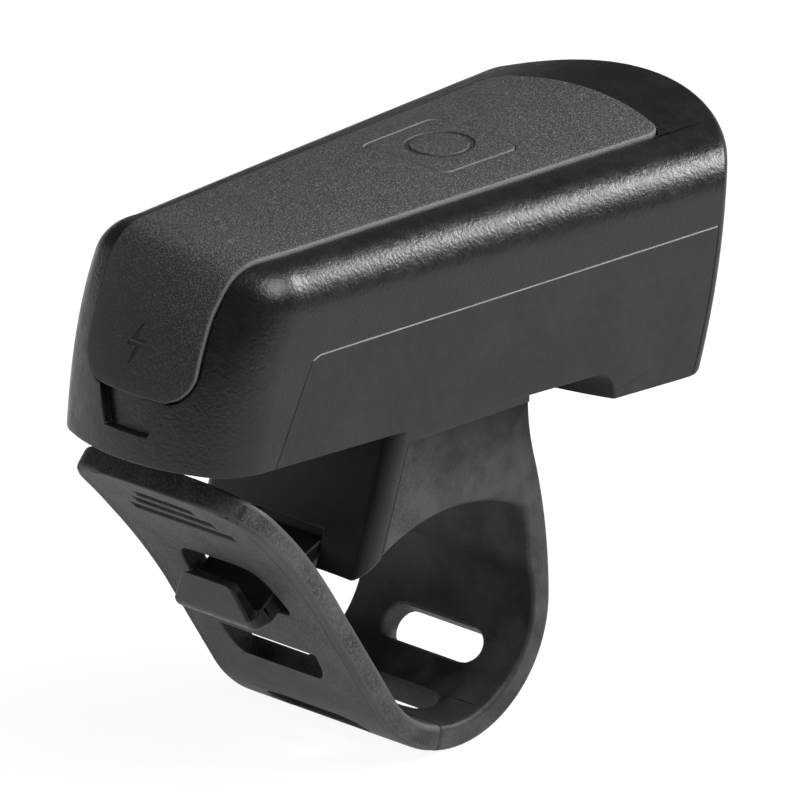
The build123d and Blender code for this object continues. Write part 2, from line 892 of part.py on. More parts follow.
def charging_flap():
    """The rubber flap over the charging port, with the plug inside it."""
    below = hinge_side(0, -1)
    flap = shell_layer(-pad_proud, flap_depth) & flap_outline() & below
    plug = front_block(
        port_half_width - plug_side_gap,
        port_z - port_half_height + plug_side_gap,
        port_z + port_half_height - plug_side_gap,
        port_corner_radius - plug_side_gap,
        light_rear_y - overrun,
        socket_front_y + overrun,
    )
    return flap + (shell_layer(0, plug_depth) & plug & below & behind_battery())


def behind_battery():
    """The space behind the battery."""
    return box_between((-reach, -reach, -reach), (reach, battery_rear_y, reach))


def upper_housing():
    """The upper shell: the top, the rear cap and the front rim."""
    solid = housing_shell() - lower_region()
    inner = envelope(-wall / 2)
    for place_x, place_y in housing_screw_places:
        for side in (-1, 1):
            boss = post(side * place_x, place_y, pillar_top_z + seat_gap, reach, pillar_radius)
            solid += boss & inner
    board_top = main_board_z + board_thickness
    for place_x, place_y in board_screw_places:
        for side in (-1, 1):
            boss = post(side * place_x, place_y, board_top, reach, board_boss_radius)
            solid += boss & inner
    shelf_top = port_z - socket_height / 2 - board_thickness
    for side in (-1, 1):
        near_x, far_x = sorted((side * (shelf_outer_half - shelf_wall), side * shelf_outer_half))
        shelf = box_between(
            (near_x, light_rear_y, shelf_top - shelf_height), (far_x, charging_board_front_y, shelf_top)
        )
        solid += shelf & inner
    for place_x, place_y in housing_screw_places:
        for side in (-1, 1):
            solid -= post(side * place_x, place_y, 0, housing_screw_top_z, housing_screw_radius)
    for place_x, place_y in board_screw_places:
        for side in (-1, 1):
            hole_top = board_top + board_screw_depth
            solid -= post(side * place_x, place_y, board_top, hole_top, board_screw_radius)
    solid -= shell_layer(-wall, pad_depth + seat_gap) & pad_outline(seat_gap) & hinge_side(0, 1)
    button_pocket = pad_depth + button_travel + moving_gap
    solid -= shell_layer(-wall, button_pocket) & button_outline(moving_gap)
    solid -= post(0, switch_y, board_top, reach, plunger_radius + moving_gap)
    flap_pocket = shell_layer(-wall, flap_depth + moving_gap) & flap_outline(moving_gap)
    solid -= flap_pocket & hinge_side(-moving_gap, -1) & behind_battery()
    notch_points = (
        (-notch_top_half, flap_low_z + flap_corner_radius),
        (notch_top_half, flap_low_z + flap_corner_radius),
        (notch_top_half, flap_low_z),
        (notch_low_half, notch_low_z),
        (-notch_low_half, notch_low_z),
        (-notch_top_half, flap_low_z),
    )
    notch = extrude(Plane.XZ * make_face(Polyline(*notch_points, close=True)), reach)
    solid -= shell_layer(-wall, notch_depth) & notch & behind_battery()
    solid -= front_block(
        port_half_width,
        port_z - port_half_height,
        port_z + port_half_height,
        port_corner_radius,
        light_rear_y - overrun,
        battery_rear_y,
    )
    solid -= window_block(seat_gap)
    return solid - shell_gasket()


def lower_housing():
    """The lower shell: the floor, flanks and chin, with the foot under it."""
    solid = housing_shell() & lower_region()
    inner = envelope(-wall / 2)
    floor_z = housing_base_z + wall
    battery_z = floor_z + seat_gap + battery_radius
    for y in (battery_rear_y + cradle_inset, battery_rear_y + battery_length - cradle_inset):
        rib = box_between(
            (-cradle_half, y - cradle_thickness / 2, housing_base_z),
            (cradle_half, y + cradle_thickness / 2, floor_z + cradle_height),
        )
        solid += rib & inner
    solid -= rod_along(
        battery_rear_y, battery_rear_y + battery_length, battery_z, battery_radius + seat_gap
    )
    for place_x, place_y in housing_screw_places:
        for side in (-1, 1):
            solid += post(side * place_x, place_y, housing_base_z, pillar_top_z, pillar_radius)
    for place_x, place_y in housing_screw_places:
        for side in (-1, 1):
            x = side * place_x
            clearance = housing_screw_radius + seat_gap
            head_top = housing_base_z + seat_gap + housing_screw_head_height
            solid -= post(x, place_y, 0, pillar_top_z + overrun, clearance)
            solid -= post(x, place_y, 0, head_top, housing_screw_head_radius + seat_gap)
    solid += sliding_foot()
    return solid - window_block(seat_gap) - shell_gasket()


def sliding_foot():
    """The T-shaped foot that slides in the bracket's channel."""
    neck = box_between(
        (-foot_neck_half, foot_rear_y, foot_head_high_z), (foot_neck_half, foot_front_y, housing_base_z)
    )
    head = box_between(
        (-foot_head_half, foot_rear_y, foot_head_low_z), (foot_head_half, foot_front_y, foot_head_high_z)
    )
    head = fillet(head.edges().filter_by(Axis.Z), foot_corner_radius)
    notch = box_between(
        (-release_half_width, catch_notch_y - moving_gap, foot_head_low_z),
        (
            release_half_width,
            catch_notch_y + catch_notch_length + moving_gap,
            foot_head_low_z + catch_notch_depth,
        ),
    )
    return neck + head - notch


def window_block(grow):
    """The window's opening through the front of the housing."""
    return front_block(
        window_half + grow,
        window_low_z - grow,
        window_high_z + grow,
        window_corner_radius + grow,
        sink_front_y,
        light_front_y + overrun,
    )


def front_lens():
    """The clear lens: a bowed skin with a skirt and a flange behind the wall."""
    opening = window_block(-lens_skirt)
    skin = front_layer(-lens_proud, lens_depth) & window_block(0)
    skirt = front_layer(lens_depth, lens_flange_inner) & (window_block(0) - opening)
    flange = front_layer(lens_flange_outer, lens_flange_inner)
    flange &= window_block(lens_flange_width) - opening
    return skin + skirt + flange


def lens_gasket():
    """The seal between the lens's flange and the front wall."""
    ring = window_block(lens_flange_width) - window_block(2 * seat_gap)
    return front_layer(wall + seat_gap / 2, lens_flange_outer - seat_gap / 2) & ring


def parabola_place(vertex_y, radius):
    """A point of the reflector's parabola at a distance from the lamp's axis."""
    return (radius, vertex_y + radius ** 2 / (4 * reflector_focus))


def parabola_bowl(vertex_y, mouth_radius):
    """A solid bowl round the lamp's axis, whose section is an arc through three points of a parabola."""
    start = parabola_place(vertex_y, reflector_hole_radius)
    mouth = parabola_place(vertex_y, mouth_radius)
    with BuildLine() as outline:
        Line((0, start[1]), start)
        ThreePointArc(start, parabola_place(vertex_y, mouth_radius / 2), mouth)
        Line(mouth, (0, mouth[1]))
        Line((0, mouth[1]), (0, start[1]))
    return Pos(0, 0, lamp_z) * revolve(make_face(outline.line), Axis.Y)


def reflector():
    """The mirror bowl between the lamp and the lens."""
    back_y = sink_front_y + lamp_board_thickness + 2 * seat_gap
    front_y = light_front_y + overrun
    outer_box = front_block(
        reflector_half + reflector_wall,
        lamp_z - reflector_half_height - reflector_wall,
        lamp_z + reflector_half_height + reflector_wall,
        reflector_wall,
        back_y,
        front_y,
    )
    inner_box = box_between(
        (-reflector_half, back_y, lamp_z - reflector_half_height),
        (reflector_half, front_y, lamp_z + reflector_half_height),
    )
    outer = parabola_bowl(back_y, reflector_mouth_radius + reflector_wall) & outer_box
    inner = parabola_bowl(back_y + reflector_back, reflector_mouth_radius) & inner_box
    bowl = outer & front_limit(-lens_flange_inner - seat_gap)
    return bowl - inner - rod_along(back_y, back_y + overrun, lamp_z, reflector_hole_radius)


def led_board():
    """The board that carries the lamp."""
    low_y = sink_front_y + seat_gap
    return box_between(
        (-lamp_board_half, low_y, lamp_z - lamp_board_half_height),
        (lamp_board_half, low_y + lamp_board_thickness, lamp_z + lamp_board_half_height),
    )


def led_emitter():
    """The lamp itself."""
    low_y = sink_front_y + seat_gap + lamp_board_thickness
    return box_between(
        (-emitter_half, low_y, lamp_z - emitter_half),
        (emitter_half, low_y + emitter_height, lamp_z + emitter_half),
    )


def heat_sink():
    """The finned plate behind the lamp board."""
    base_z = housing_base_z - chin_drop + wall + seat_gap
    plate_rear_y = sink_front_y - sink_plate
    solid = box_between((-sink_half, plate_rear_y, base_z), (sink_half, sink_front_y, sink_top_z))
    for step in range(fin_count):
        middle_x = (step - (fin_count - 1) / 2) * fin_pitch
        solid += box_between(
            (middle_x - fin_thickness / 2, plate_rear_y - fin_depth, base_z),
            (middle_x + fin_thickness / 2, plate_rear_y, sink_top_z),
        )
    return solid


def battery_middle_z():
    """The height of the battery's axis."""
    return housing_base_z + wall + seat_gap + battery_radius


def battery_cell():
    """The round rechargeable cell."""
    return rod_along(battery_rear_y, battery_rear_y + battery_length, battery_middle_z(), battery_radius)


def battery_tabs():
    """The metal strips from the cell's ends up to the main board."""
    strips = []
    for end_y, side in ((battery_rear_y, -1), (battery_rear_y + battery_length, 1)):
        low_y, high_y = sorted((end_y, end_y + side * battery_tab_thickness))
        strips.append(
            box_between(
                (-battery_tab_half, low_y, battery_middle_z()), (battery_tab_half, high_y, main_board_z)
            )
        )
    return Compound(children=strips)


def battery_foam():
    """The foam block between the cell and the main board."""
    block = box_between(
        (-foam_half, foam_rear_y, battery_middle_z()),
        (foam_half, foam_front_y, main_board_z - seat_gap),
    )
    cell = rod_along(foam_rear_y, foam_front_y, battery_middle_z(), battery_radius + pin_gap)
    return block - cell


def main_board():
    """The main circuit board under the housing's top."""
    solid = box_between(
        (-main_board_half, main_board_rear_y, main_board_z),
        (main_board_half, main_board_front_y, main_board_z + board_thickness),
    )
    for place_x, place_y in board_screw_places:
        for side in (-1, 1):
            solid -= post(side * place_x, place_y, 0, reach, board_screw_radius + seat_gap)
    return solid


def switch_bore_low_z():
    """The height of the floor of the switch's bore."""
    return main_board_z + board_thickness + switch_height - switch_bore_depth


def tact_switch():
    """The switch under the button, with a bore for the stem."""
    board_top = main_board_z + board_thickness
    top_z = board_top + switch_height
    body = box_between(
        (-switch_half, switch_y - switch_half, board_top), (switch_half, switch_y + switch_half, top_z)
    )
    return body - post(0, switch_y, switch_bore_low_z(), reach, plunger_radius + moving_gap)


def board_components():
    """The chip, the coil and the two connectors on the main board."""
    board_top = main_board_z + board_thickness
    chip = box_between(
        (-chip_half, chip_y - chip_half, board_top), (chip_half, chip_y + chip_half, board_top + chip_height)
    )
    coil = box_between(
        (-coil_half, coil_y - coil_half, board_top),
        (coil_half, coil_y + coil_half, board_top + coil_height),
    )
    pieces = [chip, coil]
    front_y = lead_route[0][0] - seat_gap
    for side in (-1, 1):
        x = side * lead_x
        pieces.append(
            box_between(
                (x - connector_half_x, front_y - connector_length, board_top),
                (x + connector_half_x, front_y, board_top + connector_height),
            )
        )
    return Compound(children=pieces)


def screw(x, y, head_low_z, head_height, head_radius, top_z, radius):
    """A screw that points up, as one solid."""
    head = post(x, y, head_low_z, head_low_z + head_height, head_radius)
    return head + post(x, y, head_low_z + head_height, top_z, radius)


def housing_screws():
    """The four screws that hold the shells together."""
    pieces = []
    for place_x, place_y in housing_screw_places:
        for side in (-1, 1):
            pieces.append(
                screw(
                    side * place_x,
                    place_y,
                    housing_base_z + seat_gap,
                    housing_screw_head_height,
                    housing_screw_head_radius,
                    housing_screw_top_z,
                    housing_screw_radius,
                )
            )
    return Compound(children=pieces)


def board_screws():
    """The four screws that hold the main board up to its bosses."""
    board_top = main_board_z + board_thickness
    pieces = []
    for place_x, place_y in board_screw_places:
        for side in (-1, 1):
            pieces.append(
                screw(
                    side * place_x,
                    place_y,
                    main_board_z - board_screw_head_height,
                    board_screw_head_height,
                    board_screw_head_radius,
                    board_top + board_screw_depth,
                    board_screw_radius,
                )
            )
    return Compound(children=pieces)


def charging_board():
    """The small board that carries the charging socket."""
    top_z = port_z - socket_height / 2
    return box_between(
        (-charging_board_half, socket_front_y, top_z - board_thickness),
        (charging_board_half, charging_board_front_y, top_z),
    )


def charging_socket():
    """The charging socket, open to the rear, with its tongue."""
    low_z = port_z - socket_height / 2
    rear_y = socket_front_y + socket_length
    body = box_between(
        (-socket_half_width, socket_front_y, low_z), (socket_half_width, rear_y, low_z + socket_height)
    )
    mouth = front_block(
        socket_mouth_half,
        port_z - socket_mouth_height / 2,
        port_z + socket_mouth_height / 2,
        socket_mouth_radius,
        socket_front_y - overrun,
        socket_front_y + socket_mouth_depth,
    )
    tongue = box_between(
        (-socket_tongue_half, socket_front_y, port_z - socket_tongue_height / 2),
        (socket_tongue_half, rear_y, port_z + socket_tongue_height / 2),
    )
    return body - mouth + tongue


def link_pins():
    """The straight pins that join the charging board to the main board."""
    low_z = port_z - socket_height / 2
    pins = []
    for step in range(link_pin_count):
        x = (step - (link_pin_count - 1) / 2) * link_pin_pitch
        pins.append(
            box_between(
                (x - link_pin_half, link_pin_y - link_pin_half, low_z),
                (x + link_pin_half, link_pin_y + link_pin_half, main_board_z),
            )
        )
    return Compound(children=pins)


def led_leads():
    """The two wires from the main board to the lamp board."""
    wires = []
    for side in (-1, 1):
        points = [Vector(side * lead_x, y, z) for y, z in lead_route]
        runs = [end - start for start, end in zip(points, points[1:])]
        radii = []
        for before, after in zip(runs, runs[1:]):
            half_turn = math.radians(before.get_angle(after)) / 2
            shorter = min(before.length, after.length)
            radii.append(lead_run_share * shorter / math.tan(half_turn))
        print("lead radii", [round(radius, 2) for radius in radii])
        path = FilletPolyline(*points, radius=radii)
        section = Plane(origin=path @ 0, z_dir=path % 0) * Circle(lead_radius)
        wires.append(sweep(section, path=path))
    return Compound(children=wires)


nodes = {
    "bracket_frame": bracket_frame,
    "handlebar_strap": handlebar_strap,
    "strap_tail": strap_tail,
    "release_tab": release_tab,
    "release_pin": release_pin,
    "upper_housing": upper_housing,
    "lower_housing": lower_housing,
    "shell_gasket": shell_gasket,
    "housing_screws": housing_screws,
    "top_pad": top_pad,
    "power_button": power_button,
    "switch_plunger": switch_plunger,
    "charging_flap": charging_flap,
    "front_lens": front_lens,
    "lens_gasket": lens_gasket,
    "reflector": reflector,
    "led_board": led_board,
    "led_emitter": led_emitter,
    "heat_sink": heat_sink,
    "led_leads": led_leads,
    "battery_cell": battery_cell,
    "battery_tabs": battery_tabs,
    "battery_foam": battery_foam,
    "main_board": main_board,
    "board_components": board_components,
    "tact_switch": tact_switch,
    "board_screws": board_screws,
    "charging_board": charging_board,
    "charging_socket": charging_socket,
    "link_pins": link_pins,
}

os.makedirs("parts", exist_ok=True)
for name, build in nodes.items():
    export_step(build(), f"parts/{name}.step")
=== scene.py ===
"""A bicycle headlight on its strap clamp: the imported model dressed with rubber, plastic and metal."""

import json
import logging
import math
from contextlib import contextmanager
from dataclasses import dataclass
from enum import Enum
from typing import Callable, Iterable, Iterator, Sequence

import bmesh
import bpy
import numpy as np
from mathutils import Matrix, Vector
from mathutils.bvhtree import BVHTree
from mathutils.geometry import delaunay_2d_cdt


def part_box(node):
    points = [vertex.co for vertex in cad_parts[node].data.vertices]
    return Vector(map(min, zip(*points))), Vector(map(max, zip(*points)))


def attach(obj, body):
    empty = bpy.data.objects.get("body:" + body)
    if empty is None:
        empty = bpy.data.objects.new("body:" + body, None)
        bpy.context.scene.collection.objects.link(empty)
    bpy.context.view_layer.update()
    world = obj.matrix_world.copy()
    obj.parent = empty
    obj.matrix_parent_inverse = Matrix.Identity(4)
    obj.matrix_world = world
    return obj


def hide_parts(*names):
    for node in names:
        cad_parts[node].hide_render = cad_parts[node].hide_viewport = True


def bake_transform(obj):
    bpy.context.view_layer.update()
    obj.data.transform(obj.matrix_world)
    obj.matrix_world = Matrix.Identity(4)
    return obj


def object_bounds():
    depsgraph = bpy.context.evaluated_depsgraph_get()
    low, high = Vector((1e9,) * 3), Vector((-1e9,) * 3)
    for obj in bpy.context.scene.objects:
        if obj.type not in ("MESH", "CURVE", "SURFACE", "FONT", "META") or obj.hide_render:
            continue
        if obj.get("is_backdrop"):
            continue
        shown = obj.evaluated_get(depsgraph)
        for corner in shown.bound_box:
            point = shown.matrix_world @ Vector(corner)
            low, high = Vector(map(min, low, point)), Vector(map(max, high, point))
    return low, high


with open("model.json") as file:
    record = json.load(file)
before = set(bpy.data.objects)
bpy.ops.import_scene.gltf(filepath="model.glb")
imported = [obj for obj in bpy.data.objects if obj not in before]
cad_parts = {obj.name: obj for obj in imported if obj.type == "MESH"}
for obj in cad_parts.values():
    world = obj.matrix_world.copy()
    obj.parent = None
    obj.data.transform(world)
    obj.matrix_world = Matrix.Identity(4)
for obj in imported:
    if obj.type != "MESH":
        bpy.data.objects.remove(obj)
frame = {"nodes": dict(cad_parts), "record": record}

LOG = logging.getLogger("headlight")
MM = 0.001
Colour = tuple[float, float, float]
Place = tuple[float, float]
Socket = bpy.types.NodeSocket

# Pairs of noise values between which a pattern runs from nothing to full.
WIDE_NOISE = (0.3, 0.7)
EVEN_NOISE = (0.35, 0.65)
SPECK_NOISE = (0.5, 0.68)

# How close two places lie, in millimetres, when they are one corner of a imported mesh.
MERGE_REACH = 0.002

# How far a ray's hit may lie from its row's curve in each round of the fit, in millimetres.
FIT_LIMITS = (1.5, 0.25, 0.06)

# The fewest hits that a row's curve is fitted to, and the powers of its terms, which keep it even.
FEWEST_HITS = 12
EVEN_POWERS = (0, 2, 4, 6)

# A corner that turns by less than this, in radians, isn't rounded.
FLAT_TURN = 0.01

# Stands in for zero where a sum divides by it.
TINY = 1e-12

# How close two flat points lie, in millimetres, when the triangles take them as one.
FLAT_REACH = 1e-6

# How much each row of the surface and its neighbours weigh when the rows are evened.
SMOOTHING_SHARES = (0.06, 0.24, 0.4, 0.24, 0.06)


class Pattern(Enum):
    """The surface pattern that a finish carries."""

    GRAIN = "grain"
    SPARKLE = "sparkle"
    BRUSHED = "brushed"


class TreeBuilder:
    """Adds nodes to one node tree."""

    def __init__(self, tree: bpy.types.NodeTree) -> None:
        """Keeps the tree that the nodes go into."""
        self.tree = tree

    def add(self, kind: str, inputs: dict, **settings: object) -> bpy.types.Node:
        """Adds one node.

        Args:
            kind: The node's type name.
            inputs: Values or sockets, by input name or index.
            **settings: The node's own properties.

        Returns:
            The new node.
        """
        node = self.tree.nodes.new(kind)
        for key, value in settings.items():
            setattr(node, key, value)
        for key, value in inputs.items():
            if isinstance(value, Socket):
                self.tree.links.new(value, node.inputs[key])
            else:
                node.inputs[key].default_value = value
        return node


class ShaderBuilder(TreeBuilder):
    """Builds one material and hands back the sockets of its nodes."""

    def __init__(self, name: str) -> None:
        """Starts a material with a Principled shader.

        Args:
            name: The material's name.
        """
        self.material = bpy.data.materials.new(name)
        self.material.use_nodes = True
        super().__init__(self.material.node_tree)
        self.nodes, self.links = self.tree.nodes, self.tree.links
        self.shader = self.nodes["Principled BSDF"]
        self.place = self.nodes.new("ShaderNodeTexCoord").outputs["Object"]

    def noise(self, size: float, detail: float = 2.0, stretch: Sequence[float] = (1, 1, 1)) -> Socket:
        """A noise whose features are about size millimetres wide.

        Args:
            size: The width of a feature in millimetres.
            detail: How many finer octaves are added.
            stretch: How much each axis is squeezed.

        Returns:
            The noise's grey output.
        """
        place = self.add("ShaderNodeMapping", {"Vector": self.place, "Scale": stretch})
        scale = 1 / (size * MM)
        node = self.add(
            "ShaderNodeTexNoise", {"Vector": place.outputs[0], "Scale": scale, "Detail": detail}
        )
        return node.outputs[0]

    def spread(self, value: Socket, low: float, high: float, to_low: float, to_high: float) -> Socket:
        """Maps a range of a value to another range, clamped at both ends.

        Args:
            value: The value to map.
            low: Where the first range starts.
            high: Where it ends.
            to_low: What its start turns into.
            to_high: What its end turns into.

        Returns:
            The mapped value.
        """
        inputs = {0: value, 1: low, 2: high, 3: to_low, 4: to_high}
        return self.add("ShaderNodeMapRange", inputs).outputs[0]

    def blend(self, factor: Socket, first: object, second: object) -> Socket:
        """Mixes two colours, given as sockets or as red, green and blue.

        Args:
            factor: How much of the second colour shows.
            first: The colour where the factor is zero.
            second: The colour where it is one.

        Returns:
            The mixed colour.
        """
        colours = [value if isinstance(value, Socket) else (*value, 1.0) for value in (first, second)]
        inputs = {0: factor, 6: colours[0], 7: colours[1]}
        return self.add("ShaderNodeMix", inputs, data_type="RGBA").outputs[2]

    def sum_of(self, first: object, second: object, operation: str = "ADD") -> Socket:
        """Joins two numbers by a plain operation.

        Args:
            first: The first number.
            second: The second number.
            operation: The Math node's operation.

        Returns:
            The result.
        """
        return self.add("ShaderNodeMath", {0: first, 1: second}, operation=operation).outputs[0]

    def relief(self, height: Socket, depth: float) -> None:
        """Bends the surface's normal by a height.

        Args:
            height: The pattern, from 0 to 1.
            depth: How high its top stands, in millimetres.
        """
        node = self.add("ShaderNodeBump", {"Height": height, "Distance": depth * MM, "Strength": 1.0})
        self.links.new(node.outputs[0], self.shader.inputs["Normal"])

    def feed(self, **values: Socket) -> None:
        """Links values to the shader's sockets, with underscores for spaces in their names."""
        for key, value in values.items():
            self.links.new(value, self.shader.inputs[key.replace("_", " ")])

    def set(self, **values: object) -> None:
        """Sets the shader's own sockets, with underscores for spaces in their names."""
        for key, value in values.items():
            self.shader.inputs[key.replace("_", " ")].default_value = value


@dataclass(frozen=True)
class Finish:
    """How one moulded or metal surface looks. Sizes are in millimetres."""

    name: str
    colour: Colour
    second_colour: Colour
    roughness: float
    roughness_swing: float = 0.06
    grain_size: float = 0.3
    grain_depth: float = 0.01
    blotch_size: float = 9.0
    metallic: float = 0.0
    specular: float = 0.5
    sheen: float = 0.0
    pattern: Pattern = Pattern.GRAIN
    sparkle_colour: Colour = (0.3, 0.3, 0.3)
    speck_share: float = 0.6
    brush_squeeze: float = 0.04
    patch_scale: float = 4.0
    sheen_roughness: float = 0.5

    def build(self) -> bpy.types.Material:
        """Makes the material.

        Returns:
            A material on Object coordinates.
        """
        paint = ShaderBuilder(self.name)
        blotch = paint.spread(paint.noise(self.blotch_size, detail=4.0), *EVEN_NOISE, 0.0, 1.0)
        colour = paint.blend(blotch, self.colour, self.second_colour)
        stretch = (1.0, self.brush_squeeze, 1.0) if self.pattern is Pattern.BRUSHED else (1.0, 1.0, 1.0)
        grain = paint.noise(self.grain_size, detail=3.0, stretch=stretch)
        if self.pattern is Pattern.SPARKLE:
            speck = paint.spread(paint.noise(self.grain_size), *SPECK_NOISE, 0.0, self.speck_share)
            colour = paint.blend(speck, colour, self.sparkle_colour)
        low = self.roughness - self.roughness_swing
        high = self.roughness + self.roughness_swing
        patches = paint.noise(self.grain_size * self.patch_scale, detail=3.0)
        paint.feed(Base_Color=colour, Roughness=paint.spread(patches, *WIDE_NOISE, low, high))
        paint.relief(grain, self.grain_depth)
        paint.set(Metallic=self.metallic, Specular_IOR_Level=self.specular)
        paint.set(Sheen_Weight=self.sheen, Sheen_Roughness=self.sheen_roughness)
        return paint.material


@dataclass(frozen=True)
class PadFinish:
    """The grained pad rubber, which turns smoother and darker on the flap, with a painted highlight along its
    rounded rims and painted shade in its engraved lines.

    Sizes and places are in millimetres.
    """

    name: str = "pad_rubber_grained"
    pad_colour: Colour = (0.024, 0.027, 0.0265)
    flap_colour: Colour = (0.013, 0.0135, 0.014)
    speck_colour: Colour = (0.16, 0.17, 0.165)
    rim_highlight_colour: Colour = (0.15, 0.154, 0.15)
    engraved_shade_colour: Colour = (0.008, 0.008, 0.008)
    cloud_size: float = 7.0
    cloud_share: float = 0.35
    speck_size: float = 0.24
    speck_share: float = 0.6
    flap_speck_share: float = 0.35
    rim_highlight_start_share: float = 0.4
    rim_highlight_share: float = 0.7
    engraved_shade_share: float = 0.75
    grain_depth: float = 0.06
    flap_grain_share: float = 0.3
    smoothest: float = 0.5
    roughest: float = 0.72
    specular: float = 0.4
    pad_fade_y: float = -41.0
    flap_fade_y: float = -49.5

    def build(self) -> bpy.types.Material:
        """Makes the material from Object coordinates and the piece's rim and engraved attributes, which place
        the painted highlight and the painted shade.

        Returns:
            The pad's material.
        """
        paint = ShaderBuilder(self.name)
        along = paint.add("ShaderNodeSeparateXYZ", {0: paint.place}).outputs[1]
        fade = paint.spread(along, self.flap_fade_y * MM, self.pad_fade_y * MM, 0.0, 1.0)
        ground = paint.blend(fade, self.flap_colour, self.pad_colour)
        cloud = paint.spread(paint.noise(self.cloud_size, detail=5.0), *WIDE_NOISE, 0.0, self.cloud_share)
        ground = paint.blend(cloud, ground, self.flap_colour)
        fine = paint.noise(self.speck_size)
        speck = paint.spread(fine, *SPECK_NOISE, 0.0, self.speck_share)
        speck_fade = paint.spread(fade, 0.0, 1.0, self.flap_speck_share, 1.0)
        ground = paint.blend(paint.sum_of(speck, speck_fade, "MULTIPLY"), ground, self.speck_colour)
        # Painted highlight: a lighter colour along the rounded rims of the outline and of the button's hole.
        rim = paint.add("ShaderNodeAttribute", {}, attribute_name="rim").outputs["Fac"]
        rim = paint.spread(rim, self.rim_highlight_start_share, 1.0, 0.0, self.rim_highlight_share)
        ground = paint.blend(rim, ground, self.rim_highlight_colour)
        # Painted shade: a darker colour in the engraved lines of the bolt and the ring.
        mark = paint.add("ShaderNodeAttribute", {}, attribute_name="engraved").outputs["Fac"]
        mark = paint.spread(mark, 0.0, 1.0, 0.0, self.engraved_shade_share)
        ground = paint.blend(mark, ground, self.engraved_shade_colour)
        rough = paint.spread(fine, *WIDE_NOISE, self.smoothest, self.roughest)
        paint.feed(Base_Color=ground, Roughness=rough)
        depth_fade = paint.spread(fade, 0.0, 1.0, self.flap_grain_share, 1.0)
        paint.relief(paint.sum_of(fine, depth_fade, "MULTIPLY"), self.grain_depth)
        paint.set(Specular_IOR_Level=self.specular)
        return paint.material


